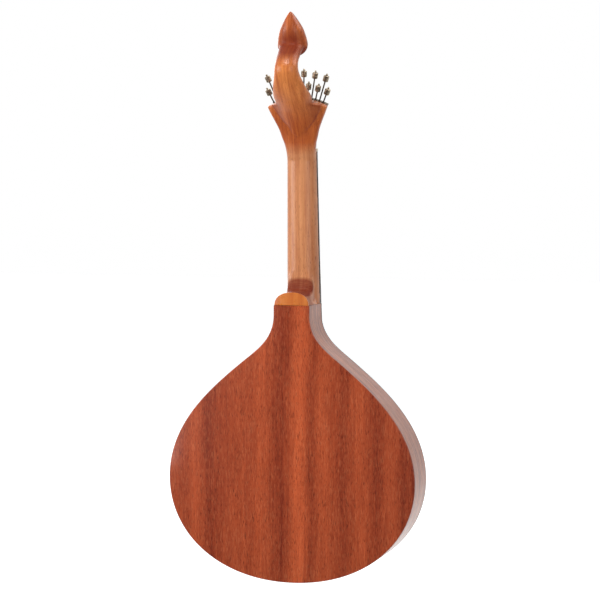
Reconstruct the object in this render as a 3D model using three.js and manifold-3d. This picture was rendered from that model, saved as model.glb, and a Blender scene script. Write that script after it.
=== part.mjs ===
// A twelve-string Portuguese guitar with a teardrop finial and a fan of tuning screws.
// Millimetres, +Z up along the neck, soundboard towards -Y, back plate towards +Y, bass side at -X.
// The origin is on the centre line at the nut, in the middle of the neck's thickness.
import * as THREE from 'three';
import { mergeVertices } from 'three/addons/utils/BufferGeometryUtils.js';
import Module from 'manifold-3d';

const wasm = await Module();
wasm.setup();

const degree = Math.PI / 180;

// Strings: the scale runs from the nut to the saddle, and the body starts at the twelfth fret.
const scaleLength = 470;
const nutToBody = scaleLength / 2;
const courseCount = 6;
const screwCount = 2 * courseCount;
const trebleStringDiameter = 0.25;
const secondStringDiameter = 0.28;
const thirdStringDiameter = 0.36;
const fourthStringDiameter = 0.56;
const fifthStringDiameter = 0.76;
const bassStringDiameter = 0.96;
const bassOctaveDiameter = 0.5;
const nutCoursePitch = 7.6;
const nutPairGap = 2.4;
const bridgeCoursePitch = 11.6;
const bridgePairGap = 3;
const tailCoursePitch = 6.4;
const tailPairGap = 3;
const stringClearance = 0.3;
const stringSides = 6;

// Body outline, depth and wall thicknesses. Its top edge lies a little past the twelfth fret.
const bodyTopDrop = 2.7;
const bodyLength = 430.3;
const bodyHalfWidth = 198.3;
const shoulderHalfWidth = 28.8;
const depthAtNeck = 70.6;
const depthAtTail = 79.3;
const soundboardThickness = 2.8;
const backThickness = 2.6;
const sideThickness = 2.4;
const bindingWidth = 2;
const glueGap = 0.15;
const soundHoleRadius = 40;
// The hole and the braces are placed from the body's top edge.
const soundHoleFromBodyTop = 142;
const soundHoleSegments = 36;
const liningWidth = 6;
const liningHeight = 9;
const liningStart = 52;
const neckBlockLength = 46;
const tailBlockLength = 20;
const tailBlockHalfWidth = 28;
const braceThickness = 8;
const soundboardBraceHeight = 10;
const backBraceHeight = 9;
const braceEndHeight = 3;
const braceEndLength = 18;
const upperSoundboardBrace = 88;
const lowerSoundboardBrace = 202;
const upperBackBrace = 94;
const middleBackBrace = 202;
const lowerBackBrace = 328;

// Neck, heel and fingerboard.
const neckTilt = 2.75 * degree;
const nutHalfWidth = 23.5;
const joinHalfWidth = 26.2;
const neckDepthAtNut = 18;
const neckDepthAtHeel = 22;
const neckRoundness = 2.3;
const boardThickness = 6;
const boardEndLength = 10;
const boardCamber = 0.9;
const archHalfSteps = 3;
const fretCount = 17;
const fretsInOctave = 12;
const fretWidth = 1.8;
const fretHeight = 1;
const fretRoot = 1.2;
const nutThickness = 4.5;
const nutRise = 1.7;
const heelHalfWidth = 27.5;
const heelWaistHalfWidth = 21;
const heelCapHeight = 20.4;
const heelCapThickness = 3;
const heelRise = 34;
const heelFront = 22.5;
const heelSweep = 12;
const heelSwell = 1.2;
const heelSquareness = 1.8;

// Head: the fan of screws spreads from an apex a little below the nut, in a plane that leans back.
const headTilt = 14 * degree;
const fanApexDrop = 11.5;
const fanApexSetback = 9.9;
const headHalfWidth = 49;
const headLength = 87;
const headThickness = 11;
const headFaceDepth = 3;
const leafEdge = 1.7;
const leafRoot = 6;
const seatGap = 0.3;

// Stem and teardrop, carved from the same wood as the neck.
const stemReach = 110;
const stemHeight = 148;
const stemHalfWidth = 18;
const stemRoundness = 2.2;
const dropHalfWidth = 23.9;
const dropHalfDepth = 20;
const dropHeight = 71;
const dropTipHeight = 214;
const dropTipSetback = 76;
const dropLean = 12.6 * degree;

// Tuning screws, their sliding hooks and the tray-shaped plate that holds them.
const firstScrewAngle = 5 * degree;
const screwAngleStep = 3.77 * degree;
const longKnobReach = 37.1;
const shortKnobReach = 18;
const knobLength = 10;
const knobHalfWidth = 4.5;
const knobFluteDepth = 0.6;
const knobEdge = 1;
const knobTipLength = 3;
const knobTipRadius = 1.6;
const shaftRadius = 1.15;
const threadRadius = 0.75;
const threadFoot = 52.5;
const threadTaper = 0.5;
const collarRadius = 1.9;
const collarThickness = 1.2;
const screwSegments = 10;
const rimRadius = 98.4;
const rimThickness = 2;
const plateInnerRadius = 50;
const plateHalfAngle = 28.5 * degree;
const plateFront = 5.4;
const plateThickness = 1.2;
const plateWall = 1.4;
const plateArcSteps = 16;
const hookRest = 66;
const hookTravel = 8;
const hookWidth = 3;
const hookLength = 6;
const hookFront = 3.6;
const hookBack = 2.4;
const hookPostWidth = 1.4;
const hookPostLength = 2.2;
const hookPostFront = 9.4;
const hookLipThickness = 1.2;
const hookLipLength = 3.4;
const hookStringHeight = 7.2;
const slotWidth = 2;
const cutOverrun = 1;

// Bridge, tailpiece and the guard over the tail edge.
const bridgeHalfLength = 48;
const bridgeTopHalfLength = 37;
const bridgeWidth = 8;
const bridgeHeight = 16;
const bridgeEndHeight = 6;
const bridgeArchHalfLength = 22;
const bridgeArchTopHalfLength = 15;
const bridgeArchHeight = 5;
const saddleWidth = 3;
const saddleTop = 22;
const saddleHalfLength = 35;
const guardHalfLength = 25;
const guardThickness = 1.8;
const guardFrontLength = 7;
const guardUnderLength = 3.4;
const tailPlateHalfLength = 24;
const tailPlateThickness = 1.3;
const tailPlateDepth = 22;
const tailEdgeSteps = 14;
const tailPinRadius = 1.2;
const tailPinLength = 1.8;
const tailPinSetback = 13;
const tailPinSegments = 8;

// Places worked out from the sizes above, with the soundboard's outer face at Y = 0.
const bodyTop = -(nutToBody + bodyTopDrop);
const bodyBottom = bodyTop - bodyLength;
const nutSetback = nutToBody * Math.tan(neckTilt);
const originSetback = nutSetback + neckDepthAtNut / 2;
const backSlope = (depthAtTail - depthAtNeck) / bodyLength;
const insideSide = sideThickness + glueGap;
const underSoundboard = soundboardThickness + glueGap;
const underBack = backThickness + glueGap;
const longKnobRadius = rimRadius + longKnobReach;
const shortKnobRadius = rimRadius + shortKnobReach;
const stringDiameters = [
  trebleStringDiameter, trebleStringDiameter,
  secondStringDiameter, secondStringDiameter,
  thirdStringDiameter, thirdStringDiameter,
  fourthStringDiameter, secondStringDiameter,
  fifthStringDiameter, thirdStringDiameter,
  bassStringDiameter, bassOctaveDiameter,
];

// The half outline of the body, as shares of its half width and of its length.
const shoulderEndShare = 0.0376;
const shoulderCurveShares = [[0.1473, 0.1196], [0.2726, 0.1586], [0.3893, 0.2021]];
const flankCurveShares = [[0.6793, 0.3102], [1, 0.44], [1, 0.6292]];
const roundCurveShares = [[1, 0.84], [0.5951, 1], [0, 1]];
const outlineSteps = 12;

// Head stations: height, half width and thickness as shares, and how square the edges are.
const headShares = [
  [0, 0.475, 1.45, 2.3],
  [0.115, 0.478, 1.45, 2.4],
  [0.276, 0.515, 1.3, 2.8],
  [0.414, 0.588, 1.12, 3.6],
  [0.563, 0.661, 1.02, 4.6],
  [0.713, 0.772, 1, 6],
  [0.862, 0.895, 1, 7],
  [1, 1, 1, 8],
  [1.16, 1.13, 1, 8],
];

// Stem stations: back point and front point as reach and height shares, then the half width share.
const stemShares = [
  [0.28, 0.16, 0.255, 0.203, 0.3],
  [0.36, 0.262, 0.3, 0.338, 0.95],
  [0.505, 0.4, 0.36, 0.486, 1.42],
  [0.727, 0.541, 0.43, 0.584, 1.68],
  [0.873, 0.655, 0.6, 0.662, 1.46],
  [0.973, 0.764, 0.7, 0.757, 1.17],
  [1, 0.858, 0.773, 0.838, 1.03],
  [0.945, 0.946, 0.75, 0.912, 0.98],
  [0.872, 1.01, 0.66, 0.975, 1],
  [0.805, 1.057, 0.6, 1.03, 1.05],
  [0.735, 1.1, 0.55, 1.08, 1.02],
  [0.66, 1.15, 0.52, 1.12, 0.75],
];
const stemSteps = 26;

// Leaf stations on the head's back: height share, widths to the treble and bass side as shares of the
// head's half width, and rise as a share of the head's thickness.
const leafShares = [
  [0.451, 0.037, 0.061, 0.16],
  [0.466, 0.094, 0.102, 0.22],
  [0.49, 0.143, 0.141, 0.27],
  [0.529, 0.19, 0.21, 0.33],
  [0.564, 0.229, 0.273, 0.4],
  [0.641, 0.308, 0.408, 0.57],
  [0.707, 0.41, 0.51, 0.74],
  [0.764, 0.496, 0.59, 0.92],
  [0.851, 0.602, 0.682, 1.22],
  [0.943, 0.694, 0.771, 1.58],
  [1.029, 0.776, 0.841, 2.02],
  [1.15, 0.86, 0.92, 2.6],
];
const leafHalfSteps = 6;

// The teardrop's height share, half width share and how far its back stands out, from foot to tip.
const dropShares = [
  [0, 0.06, 0.06],
  [0.02, 0.37, 0.3],
  [0.07, 0.68, 0.48],
  [0.14, 0.88, 0.58],
  [0.22, 0.985, 0.63],
  [0.3, 1, 0.67],
  [0.46, 0.905, 0.73],
  [0.63, 0.74, 0.7],
  [0.8, 0.46, 0.46],
  [0.89, 0.29, 0.29],
  [0.96, 0.145, 0.145],
  [1, 0.02, 0.02],
];
const ringSteps = 20;
const neckStationShares = [1.05, 0.75, 0.5, 0.25, 0, -0.05];
const heelDepthShares = [1.3, 1, 0.985, 0.965, 0.94, 0.91, 0.87, 0.82, 0.75, 0.6, 0.4, 0.2, 0];

function finish(colour, roughness, metalness = 0) {
  return new THREE.MeshStandardMaterial({ color: colour, roughness, metalness });
}

const mahogany = finish(0x9c4c30, 0.4);
const neckWood = finish(0xb8733f, 0.35);
const capWood = finish(0xc77235, 0.35);
const spruce = finish(0xe2b87a, 0.4);
const ebony = finish(0x2b201b, 0.45);
const paleWood = finish(0xc9a678, 0.7);
const bone = finish(0xefe6d2, 0.4);
const steel = finish(0x8d857c, 0.35, 0.9);
const plateMetal = finish(0xb9a888, 0.35, 0.9);

function namedMesh(name, geometry, material) {
  const mesh = new THREE.Mesh(geometry, material);
  mesh.name = name;
  return mesh;
}

// Turns every triangle round if the closed surface encloses a negative volume.
function facingOut(geometry) {
  const place = geometry.getAttribute('position');
  const index = geometry.getIndex();
  const corners = [new THREE.Vector3(), new THREE.Vector3(), new THREE.Vector3()];
  let volume = 0;
  for (let face = 0; face < index.count; face += 3) {
    corners.forEach((corner, turn) => corner.fromBufferAttribute(place, index.getX(face + turn)));
    volume += corners[0].dot(corners[1].clone().cross(corners[2]));
  }
  for (let face = 0; volume < 0 && face < index.count; face += 3) {
    const second = index.getX(face + 1);
    index.setX(face + 1, index.getX(face + 2));
    index.setX(face + 2, second);
  }
  geometry.computeVertexNormals();
  return geometry;
}

// Closed surface through rings of equal length, with a fan of triangles over each end ring.
function loft(rings) {
  const count = rings[0].length;
  const last = rings.length - 1;
  const places = rings.flat();
  const faces = [];
  for (let row = 0; row < last; row += 1) {
    for (let step = 0; step < count; step += 1) {
      const here = row * count + step;
      const next = row * count + (step + 1) % count;
      faces.push(here, next, next + count, here, next + count, here + count);
    }
  }
  for (const row of [0, last]) {
    const middle = new THREE.Vector3();
    rings[row].forEach((corner) => middle.addScaledVector(corner, 1 / count));
    const hub = places.push(middle) - 1;
    for (let step = 0; step < count; step += 1) {
      const here = row * count + step;
      const next = row * count + (step + 1) % count;
      faces.push(hub, row === 0 ? next : here, row === 0 ? here : next);
    }
  }
  const geometry = new THREE.BufferGeometry().setFromPoints(places);
  geometry.setIndex(faces);
  return facingOut(geometry);
}

function solid(geometry) {
  const bare = geometry.clone();
  bare.deleteAttribute('normal');
  bare.deleteAttribute('uv');
  const merged = mergeVertices(bare);
  return new wasm.Manifold(new wasm.Mesh({
    numProp: 3,
    vertProperties: Float32Array.from(merged.getAttribute('position').array),
    triVerts: Uint32Array.from(merged.getIndex().array),
  }));
}

function surface(body) {
  const mesh = body.getMesh();
  const geometry = new THREE.BufferGeometry();
  geometry.setAttribute('position', new THREE.BufferAttribute(Float32Array.from(mesh.vertProperties), 3));
  geometry.setIndex(Array.from(mesh.triVerts));
  geometry.computeVertexNormals();
  return geometry;
}

function flatPoint(across, up) {
  return new THREE.Vector2(across, up);
}

// A flat sheet from an outline in X and Z, filling Y from its front to its back.
function sheet(outline, front, back, hole = null) {
  const shape = new THREE.Shape(outline);
  if (hole) shape.holes.push(new THREE.Path(hole));
  const geometry = new THREE.ExtrudeGeometry(shape, { depth: back - front, bevelEnabled: false });
  return geometry.rotateX(Math.PI / 2).translate(0, back, 0);
}

// A bar whose outline in X and Y runs along Z from its foot to its top.
function bar(outline, foot, top) {
  const shape = new THREE.Shape(outline);
  return new THREE.ExtrudeGeometry(shape, { depth: top - foot, bevelEnabled: false }).translate(0, 0, foot);
}

// A rail whose outline in Y and Z runs along X, the same way to both sides of the centre line.
function rail(outline, halfLength) {
  const shape = new THREE.Shape(outline);
  const geometry = new THREE.ExtrudeGeometry(shape, { depth: 2 * halfLength, bevelEnabled: false });
  const basis = new THREE.Matrix4().makeBasis(
    new THREE.Vector3(0, 1, 0),
    new THREE.Vector3(0, 0, 1),
    new THREE.Vector3(1, 0, 0),
  );
  return geometry.applyMatrix4(basis).translate(-halfLength, 0, 0);
}

// A box from its lowest to its highest corner.
function block(low, high) {
  const size = high.clone().sub(low);
  const middle = low.clone().add(high).divideScalar(2);
  return new THREE.BoxGeometry(size.x, size.y, size.z).translate(middle.x, middle.y, middle.z);
}

function movePoints(geometry, moved) {
  const place = geometry.getAttribute('position');
  for (let vertex = 0; vertex < place.count; vertex += 1) {
    place.setY(vertex, moved(place.getY(vertex), place.getZ(vertex)));
  }
  return geometry;
}

// How far behind the soundboard's face the back plate's outer face lies at a height.
function backFace(height) {
  return depthAtNeck + backSlope * (bodyTop - height);
}

// Stretches a sheet that starts under the soundboard until it meets the leaning back plate.
function reachBack(outline) {
  const geometry = sheet(outline, underSoundboard, depthAtNeck);
  return movePoints(geometry, (depth, height) => {
    const share = (depth - underSoundboard) / (depthAtNeck - underSoundboard);
    return underSoundboard + share * (backFace(height) - underBack - underSoundboard);
  });
}

// Lays a piece, made with its back at Y = 0, some way under the back plate's outer face.
function leanBack(geometry, under) {
  return movePoints(geometry, (depth, height) => depth + backFace(height) - under);
}

// The half outline at +X from the shoulder down to the tail, drawn in by an inset.
function halfOutline(inset) {
  const place = ([widthShare, lengthShare]) => flatPoint(
    bodyHalfWidth * widthShare,
    bodyTop - bodyLength * lengthShare,
  );
  const points = [flatPoint(shoulderHalfWidth, bodyTop)];
  let start = flatPoint(shoulderHalfWidth, bodyTop - bodyLength * shoulderEndShare);
  for (const shares of [shoulderCurveShares, flankCurveShares, roundCurveShares]) {
    const [first, second, end] = shares.map(place);
    const curve = new THREE.CubicBezierCurve(start, first, second, end);
    points.push(...curve.getPoints(outlineSteps).slice(0, -1));
    start = end;
  }
  points.push(start);
  return points.map((corner, step) => {
    if (step === points.length - 1) return flatPoint(0, corner.y + inset);
    const along = points[step + 1].clone().sub(points[Math.max(step - 1, 0)]).normalize();
    return flatPoint(corner.x + along.y * inset, corner.y - along.x * inset);
  });
}

function mirrored(points) {
  return points.map((corner) => flatPoint(-corner.x, corner.y));
}

function closedOutline(inset) {
  const half = halfOutline(inset);
  return [...half, ...mirrored(half.slice(0, -1).reverse())];
}

// A band between two insets that follows the outline round the tail, open at the neck.
function band(outerInset, innerInset, start) {
  const below = (corner) => corner.y <= bodyTop - start;
  const outer = halfOutline(outerInset).filter(below);
  const inner = halfOutline(innerInset).filter(below);
  return [
    ...outer,
    ...mirrored(outer.slice(0, -1).reverse()),
    ...mirrored(inner),
    ...inner.slice(0, -1).reverse(),
  ];
}

// Half the width between the walls at a height, and the wall's height near the tail at a width.
function halfWidthAt(height, inset) {
  const half = halfOutline(inset);
  const step = half.findIndex((corner) => corner.y <= height);
  const share = (half[step - 1].y - height) / (half[step - 1].y - half[step].y);
  return half[step - 1].x + share * (half[step].x - half[step - 1].x);
}

function tailHeightAt(across, inset) {
  const half = halfOutline(inset).reverse();
  const step = half.findIndex((corner) => corner.x > Math.abs(across));
  const share = (Math.abs(across) - half[step - 1].x) / (half[step].x - half[step - 1].x);
  return half[step - 1].y + share * (half[step].y - half[step - 1].y);
}

function tailEdge(halfLength, inset) {
  const points = [];
  for (let step = 0; step <= tailEdgeSteps; step += 1) {
    const across = halfLength * (1 - 2 * step / tailEdgeSteps);
    points.push(flatPoint(across, tailHeightAt(across, inset)));
  }
  return points;
}

function circle(radius, height, steps) {
  return Array.from({ length: steps }, (_, step) => {
    const angle = 2 * Math.PI * step / steps;
    return flatPoint(radius * Math.cos(angle), height + radius * Math.sin(angle));
  });
}

function soundboard() {
  const hole = circle(soundHoleRadius, bodyTop - soundHoleFromBodyTop, soundHoleSegments);
  return sheet(closedOutline(bindingWidth + glueGap), 0, soundboardThickness, hole);
}

function side(sign) {
  const ownHalf = (inset) => halfOutline(inset).map((corner) => {
    return flatPoint(sign * Math.max(corner.x, glueGap / 2), corner.y);
  });
  return reachBack([...ownHalf(0), ...ownHalf(sideThickness).reverse()]);
}

function lining(front, growth) {
  const outline = band(insideSide - growth, insideSide + liningWidth + growth, liningStart - growth);
  return sheet(outline, front - growth, front + liningHeight + growth);
}

function neckBlock() {
  const half = shoulderHalfWidth - insideSide - glueGap;
  const foot = bodyTop - neckBlockLength;
  const outline = [flatPoint(half, bodyTop), flatPoint(-half, bodyTop)];
  return reachBack([...outline, flatPoint(-half, foot), flatPoint(half, foot)]);
}

function tailBlock() {
  const top = bodyBottom + insideSide + tailBlockLength;
  const whole = solid(reachBack([
    ...tailEdge(tailBlockHalfWidth, insideSide),
    flatPoint(-tailBlockHalfWidth, top),
    flatPoint(tailBlockHalfWidth, top),
  ]));
  const front = solid(lining(underSoundboard, glueGap));
  const back = solid(leanBack(lining(-liningHeight, glueGap), underBack));
  return surface(whole.subtract(front).subtract(back));
}

// A brace's outline is drawn with its glued face at Y = 0 and the rest towards the inside of the body.
function brace(fromBodyTop, height, inward) {
  const reach = insideSide + liningWidth + glueGap;
  const top = bodyTop - fromBodyTop + braceThickness / 2;
  const foot = top - braceThickness;
  const half = Math.min(halfWidthAt(top, reach), halfWidthAt(foot, reach));
  const full = half - braceEndLength;
  const outline = [
    flatPoint(half, 0),
    flatPoint(half, inward * braceEndHeight),
    flatPoint(full, inward * height),
    flatPoint(-full, inward * height),
    flatPoint(-half, inward * braceEndHeight),
    flatPoint(-half, 0),
  ];
  return bar(outline, foot, top);
}

function bodyPieces() {
  const group = new THREE.Group();
  group.add(
    namedMesh('soundboard', soundboard(), spruce),
    namedMesh('back_plate', leanBack(sheet(closedOutline(0), -backThickness, 0), 0), mahogany),
    namedMesh('side_treble', side(1), mahogany),
    namedMesh('side_bass', side(-1), mahogany),
    namedMesh('binding_front', sheet(band(0, bindingWidth, 0), 0, soundboardThickness), ebony),
    namedMesh('lining_front', lining(underSoundboard, 0), paleWood),
    namedMesh('lining_back', leanBack(lining(-liningHeight, 0), underBack), paleWood),
    namedMesh('neck_block', neckBlock(), paleWood),
    namedMesh('tail_block', tailBlock(), paleWood),
  );
  [upperSoundboardBrace, lowerSoundboardBrace].forEach((fromBodyTop, place) => {
    const geometry = brace(fromBodyTop, soundboardBraceHeight, 1).translate(0, underSoundboard, 0);
    group.add(namedMesh(`soundboard_brace_${place + 1}`, geometry, paleWood));
  });
  [upperBackBrace, middleBackBrace, lowerBackBrace].forEach((fromBodyTop, place) => {
    const geometry = leanBack(brace(fromBodyTop, backBraceHeight, -1), underBack);
    group.add(namedMesh(`back_brace_${place + 1}`, geometry, paleWood));
  });
  return group;
}

// The neck's own frame: Z along the fingerboard's underside, Y straight behind it.
const neckFrame = new THREE.Matrix4().makeRotationX(-neckTilt).setPosition(0, nutSetback, 0);
// The head's own frame: Z up from the apex of the fan in the plane of the screws, Y behind it.
const headFrame = new THREE.Matrix4().makeRotationX(-headTilt).setPosition(0, fanApexSetback, -fanApexDrop);

function boardHalfWidth(along) {
  return nutHalfWidth - (joinHalfWidth - nutHalfWidth) * along / nutToBody;
}

// A point on a round that grows squarer as its exponent grows, in shares of its two half sizes.
function roundShares(angle, exponent) {
  const bend = (value) => Math.sign(value) * Math.abs(value) ** (2 / exponent);
  return [bend(Math.cos(angle)), bend(Math.sin(angle))];
}

// A ring with a flat front and a rounded back, level in its own frame.
function roundBackRing(halfWidth, front, depth, exponent, height) {
  return Array.from({ length: ringSteps + 1 }, (_, step) => {
    const [across, behind] = roundShares(Math.PI * step / ringSteps, exponent);
    return new THREE.Vector3(halfWidth * across, front + depth * Math.max(behind, 0), height);
  });
}

function neckShaft() {
  return loft(neckStationShares.map((share) => {
    const along = -nutToBody * share;
    const depth = neckDepthAtNut + (neckDepthAtHeel - neckDepthAtNut) * share;
    return roundBackRing(boardHalfWidth(along), glueGap, depth, neckRoundness, along);
  })).applyMatrix4(neckFrame);
}

function heel() {
  const heelEnd = backFace(bodyTop + heelCapHeight) - heelCapThickness - glueGap;
  return loft(heelDepthShares.map((share) => {
    const depth = heelEnd - (heelEnd - heelFront) * share;
    const rise = heelCapHeight - glueGap + heelRise * Math.min(share, 1) ** heelSweep;
    const swell = Math.max(1 - share, 0) ** heelSwell;
    const half = heelWaistHalfWidth + (heelHalfWidth - heelWaistHalfWidth) * swell;
    const squareness = neckRoundness + heelSquareness * Math.min(share, 1) ** 2;
    return Array.from({ length: ringSteps + 1 }, (_, turn) => {
      const [across, up] = roundShares(Math.PI * turn / ringSteps, squareness);
      return new THREE.Vector3(half * across, depth, bodyTop + glueGap + rise * Math.max(up, 0));
    });
  }));
}

// The raised leaf that runs down the head's back from the stem.
function leaf() {
  const back = headFaceDepth + headThickness;
  return loft(leafShares.map(([heightShare, trebleShare, bassShare, riseShare]) => {
    const height = headLength * heightShare;
    const rise = headThickness * riseShare;
    const edge = Math.min(leafEdge, rise / 2);
    const ring = [];
    for (let step = -leafHalfSteps; step <= leafHalfSteps; step += 1) {
      const across = -Math.sin(Math.PI / 2 * step / leafHalfSteps);
      const half = headHalfWidth * (across > 0 ? trebleShare : bassShare);
      const depth = back + edge + (rise - edge) * (1 - across ** 2);
      ring.push(new THREE.Vector3(half * across, depth, height));
    }
    const first = ring[0];
    const last = ring[ring.length - 1];
    ring.push(last.clone().setY(back - leafRoot), first.clone().setY(back - leafRoot));
    return ring;
  }));
}

function headSlab() {
  const slab = solid(loft(headShares.map(([heightShare, widthShare, depthShare, exponent]) => roundBackRing(
    headHalfWidth * widthShare,
    headFaceDepth,
    headThickness * depthShare,
    exponent,
    headLength * heightShare,
  ))));
  const reach = 4 * headThickness;
  const round = solid(new THREE.CylinderGeometry(rimRadius, rimRadius, reach, 4 * ringSteps));
  return solid(surface(slab.add(solid(leaf())).intersect(round)).applyMatrix4(headFrame));
}

function stem() {
  const backPoints = [];
  const frontPoints = [];
  for (const [backReach, backHeight, frontReach, frontHeight, width] of stemShares) {
    const across = stemHalfWidth * width;
    backPoints.push(new THREE.Vector3(across, stemReach * backReach, stemHeight * backHeight));
    frontPoints.push(new THREE.Vector3(across, stemReach * frontReach, stemHeight * frontHeight));
  }
  const backs = new THREE.CatmullRomCurve3(backPoints).getPoints(stemSteps);
  const fronts = new THREE.CatmullRomCurve3(frontPoints).getPoints(stemSteps);
  return loft(backs.map((back, step) => {
    const front = fronts[step];
    return Array.from({ length: ringSteps }, (_, turn) => {
      const [across, behind] = roundShares(2 * Math.PI * turn / ringSteps, stemRoundness);
      const ringPoint = front.clone().lerp(back, (1 + behind) / 2);
      return ringPoint.setX(back.x * across);
    });
  }));
}

function teardrop() {
  const up = new THREE.Vector3(0, Math.sin(dropLean), Math.cos(dropLean));
  const behind = new THREE.Vector3(0, Math.cos(dropLean), -Math.sin(dropLean));
  const foot = new THREE.Vector3(0, dropTipSetback, dropTipHeight).addScaledVector(up, -dropHeight);
  return loft(dropShares.map(([heightShare, widthShare, backShare]) => {
    const middle = foot.clone().addScaledVector(up, dropHeight * heightShare);
    return Array.from({ length: ringSteps }, (_, turn) => {
      const angle = 2 * Math.PI * turn / ringSteps;
      const depthShare = Math.sin(angle) > 0 ? backShare : widthShare;
      const ringPoint = middle.clone().addScaledVector(behind, dropHalfDepth * depthShare * Math.sin(angle));
      return ringPoint.setX(dropHalfWidth * widthShare * Math.cos(angle));
    });
  }));
}

function neck() {
  const farEdge = new THREE.Vector3(0, 0, nutThickness).applyMatrix4(neckFrame);
  const faceStart = farEdge.applyMatrix4(headFrame.clone().invert()).z + glueGap;
  const faceCut = block(
    new THREE.Vector3(-rimRadius, -rimRadius, faceStart),
    new THREE.Vector3(rimRadius, headFaceDepth, longKnobRadius - knobLength),
  ).applyMatrix4(headFrame);
  const endCut = block(
    new THREE.Vector3(-bodyHalfWidth, -bodyHalfWidth, bodyTop - bodyLength),
    new THREE.Vector3(bodyHalfWidth, bodyHalfWidth, bodyTop + glueGap),
  );
  const whole = solid(neckShaft())
    .add(solid(heel()))
    .add(headSlab())
    .add(solid(stem()))
    .add(solid(teardrop()));
  return surface(whole.subtract(solid(faceCut)).subtract(solid(endCut)));
}

function heelCap() {
  const outline = Array.from({ length: ringSteps + 1 }, (_, turn) => {
    const [across, up] = roundShares(Math.PI * turn / ringSteps, neckRoundness);
    const rise = heelCapHeight - glueGap;
    return flatPoint(heelHalfWidth * across, bodyTop + glueGap + rise * Math.max(up, 0));
  });
  return leanBack(sheet(outline, -heelCapThickness, 0), 0);
}

// The arched front of the fingerboard, frets or nut at one station, over a flat or raised back.
function archedRing(along, rise, behind, halfWidth) {
  const arch = Array.from({ length: 2 * archHalfSteps + 1 }, (_, step) => {
    const share = 1 - step / archHalfSteps;
    return new THREE.Vector3(halfWidth * share, boardCamber * share ** 2 - rise, along);
  });
  const backCorner = new THREE.Vector3(halfWidth, behind, along);
  return [...arch, backCorner.clone().setX(-halfWidth), backCorner];
}

// Where the soundboard's face lies in the neck's frame, a glue line behind the fingerboard.
function soundboardInNeck(along) {
  return -(glueGap + nutSetback + along * Math.sin(neckTilt)) / Math.cos(neckTilt);
}

// Each fret takes the string a twelfth root of two nearer to the saddle.
function fretPlace(fret) {
  return -scaleLength * (1 - 2 ** (-fret / fretsInOctave));
}

function fingerboard() {
  const join = bodyTop / Math.cos(neckTilt);
  const boardEnd = fretPlace(fretCount) - boardEndLength;
  const stations = [
    [-glueGap, 0],
    [join, soundboardInNeck(join)],
    [boardEnd, soundboardInNeck(boardEnd)],
  ];
  let board = solid(loft(stations.map(([along, behind]) => archedRing(
    along,
    boardThickness,
    behind,
    boardHalfWidth(along),
  ))));
  for (let fret = 1; fret <= fretCount; fret += 1) {
    const along = fretPlace(fret);
    const wire = [along - fretWidth / 2, along + fretWidth / 2].map((edge) => archedRing(
      edge,
      boardThickness + fretHeight,
      fretRoot - boardThickness,
      boardHalfWidth(along) - glueGap,
    ));
    board = board.add(solid(loft(wire)));
  }
  return surface(board);
}

function nut() {
  const rise = boardThickness + nutRise;
  return loft([0, nutThickness].map((along) => archedRing(along, rise, 0, nutHalfWidth)));
}

function neckPieces() {
  const group = new THREE.Group();
  group.applyMatrix4(neckFrame);
  group.add(namedMesh('fingerboard', fingerboard(), ebony), namedMesh('nut', nut(), bone));
  return group;
}

function screwAngle(place) {
  const fromMiddle = place < screwCount / 2 ? screwCount / 2 - 1 - place : place - screwCount / 2;
  const size = firstScrewAngle + screwAngleStep * fromMiddle;
  return place < screwCount / 2 ? size : -size;
}

function knobRadius(place) {
  const fromMiddle = place < screwCount / 2 ? screwCount / 2 - 1 - place : place - screwCount / 2;
  return fromMiddle % 2 === 0 ? longKnobRadius : shortKnobRadius;
}

// A thumbscrew along +Z: threaded foot, plain shaft with a collar that bears on the rim, fluted knob.
function tuningScrew(place) {
  const knobFoot = knobRadius(place) - knobLength / 2;
  const knobTop = knobFoot + knobLength;
  const threadEnd = rimRadius - rimThickness - cutOverrun;
  const collarFoot = rimRadius + seatGap;
  const collarTop = collarFoot + collarThickness;
  const profile = [
    [0, threadFoot],
    [threadRadius, threadFoot],
    [threadRadius, threadEnd - threadTaper],
    [shaftRadius, threadEnd],
    [shaftRadius, collarFoot],
    [collarRadius, collarFoot],
    [collarRadius, collarTop],
    [shaftRadius, collarTop],
    [shaftRadius, knobFoot],
    [knobHalfWidth - knobEdge, knobFoot],
    [knobHalfWidth, knobFoot + knobEdge],
    [knobHalfWidth, knobTop - knobEdge],
    [knobHalfWidth - knobEdge, knobTop],
    [knobTipRadius, knobTop],
    [knobTipRadius, knobTop + knobTipLength],
    [0, knobTop + knobTipLength],
  ].map(([radius, height]) => flatPoint(radius, height));
  const geometry = new THREE.LatheGeometry(profile, screwSegments);
  const spot = geometry.getAttribute('position');
  for (let vertex = 0; vertex < spot.count; vertex += 1) {
    const radius = Math.hypot(spot.getX(vertex), spot.getZ(vertex));
    const fluted = radius > knobHalfWidth - knobEdge / 2 && Math.floor(vertex / profile.length) % 2 === 1;
    const shrink = fluted ? (radius - knobFluteDepth) / radius : 1;
    spot.setX(vertex, spot.getX(vertex) * shrink);
    spot.setZ(vertex, spot.getZ(vertex) * shrink);
  }
  return geometry.rotateX(Math.PI / 2);
}

function hookBlock(width, front, back, foot, top) {
  const low = new THREE.Vector3(-width / 2, -front, foot);
  return solid(block(low, new THREE.Vector3(width / 2, back, top)));
}

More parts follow.
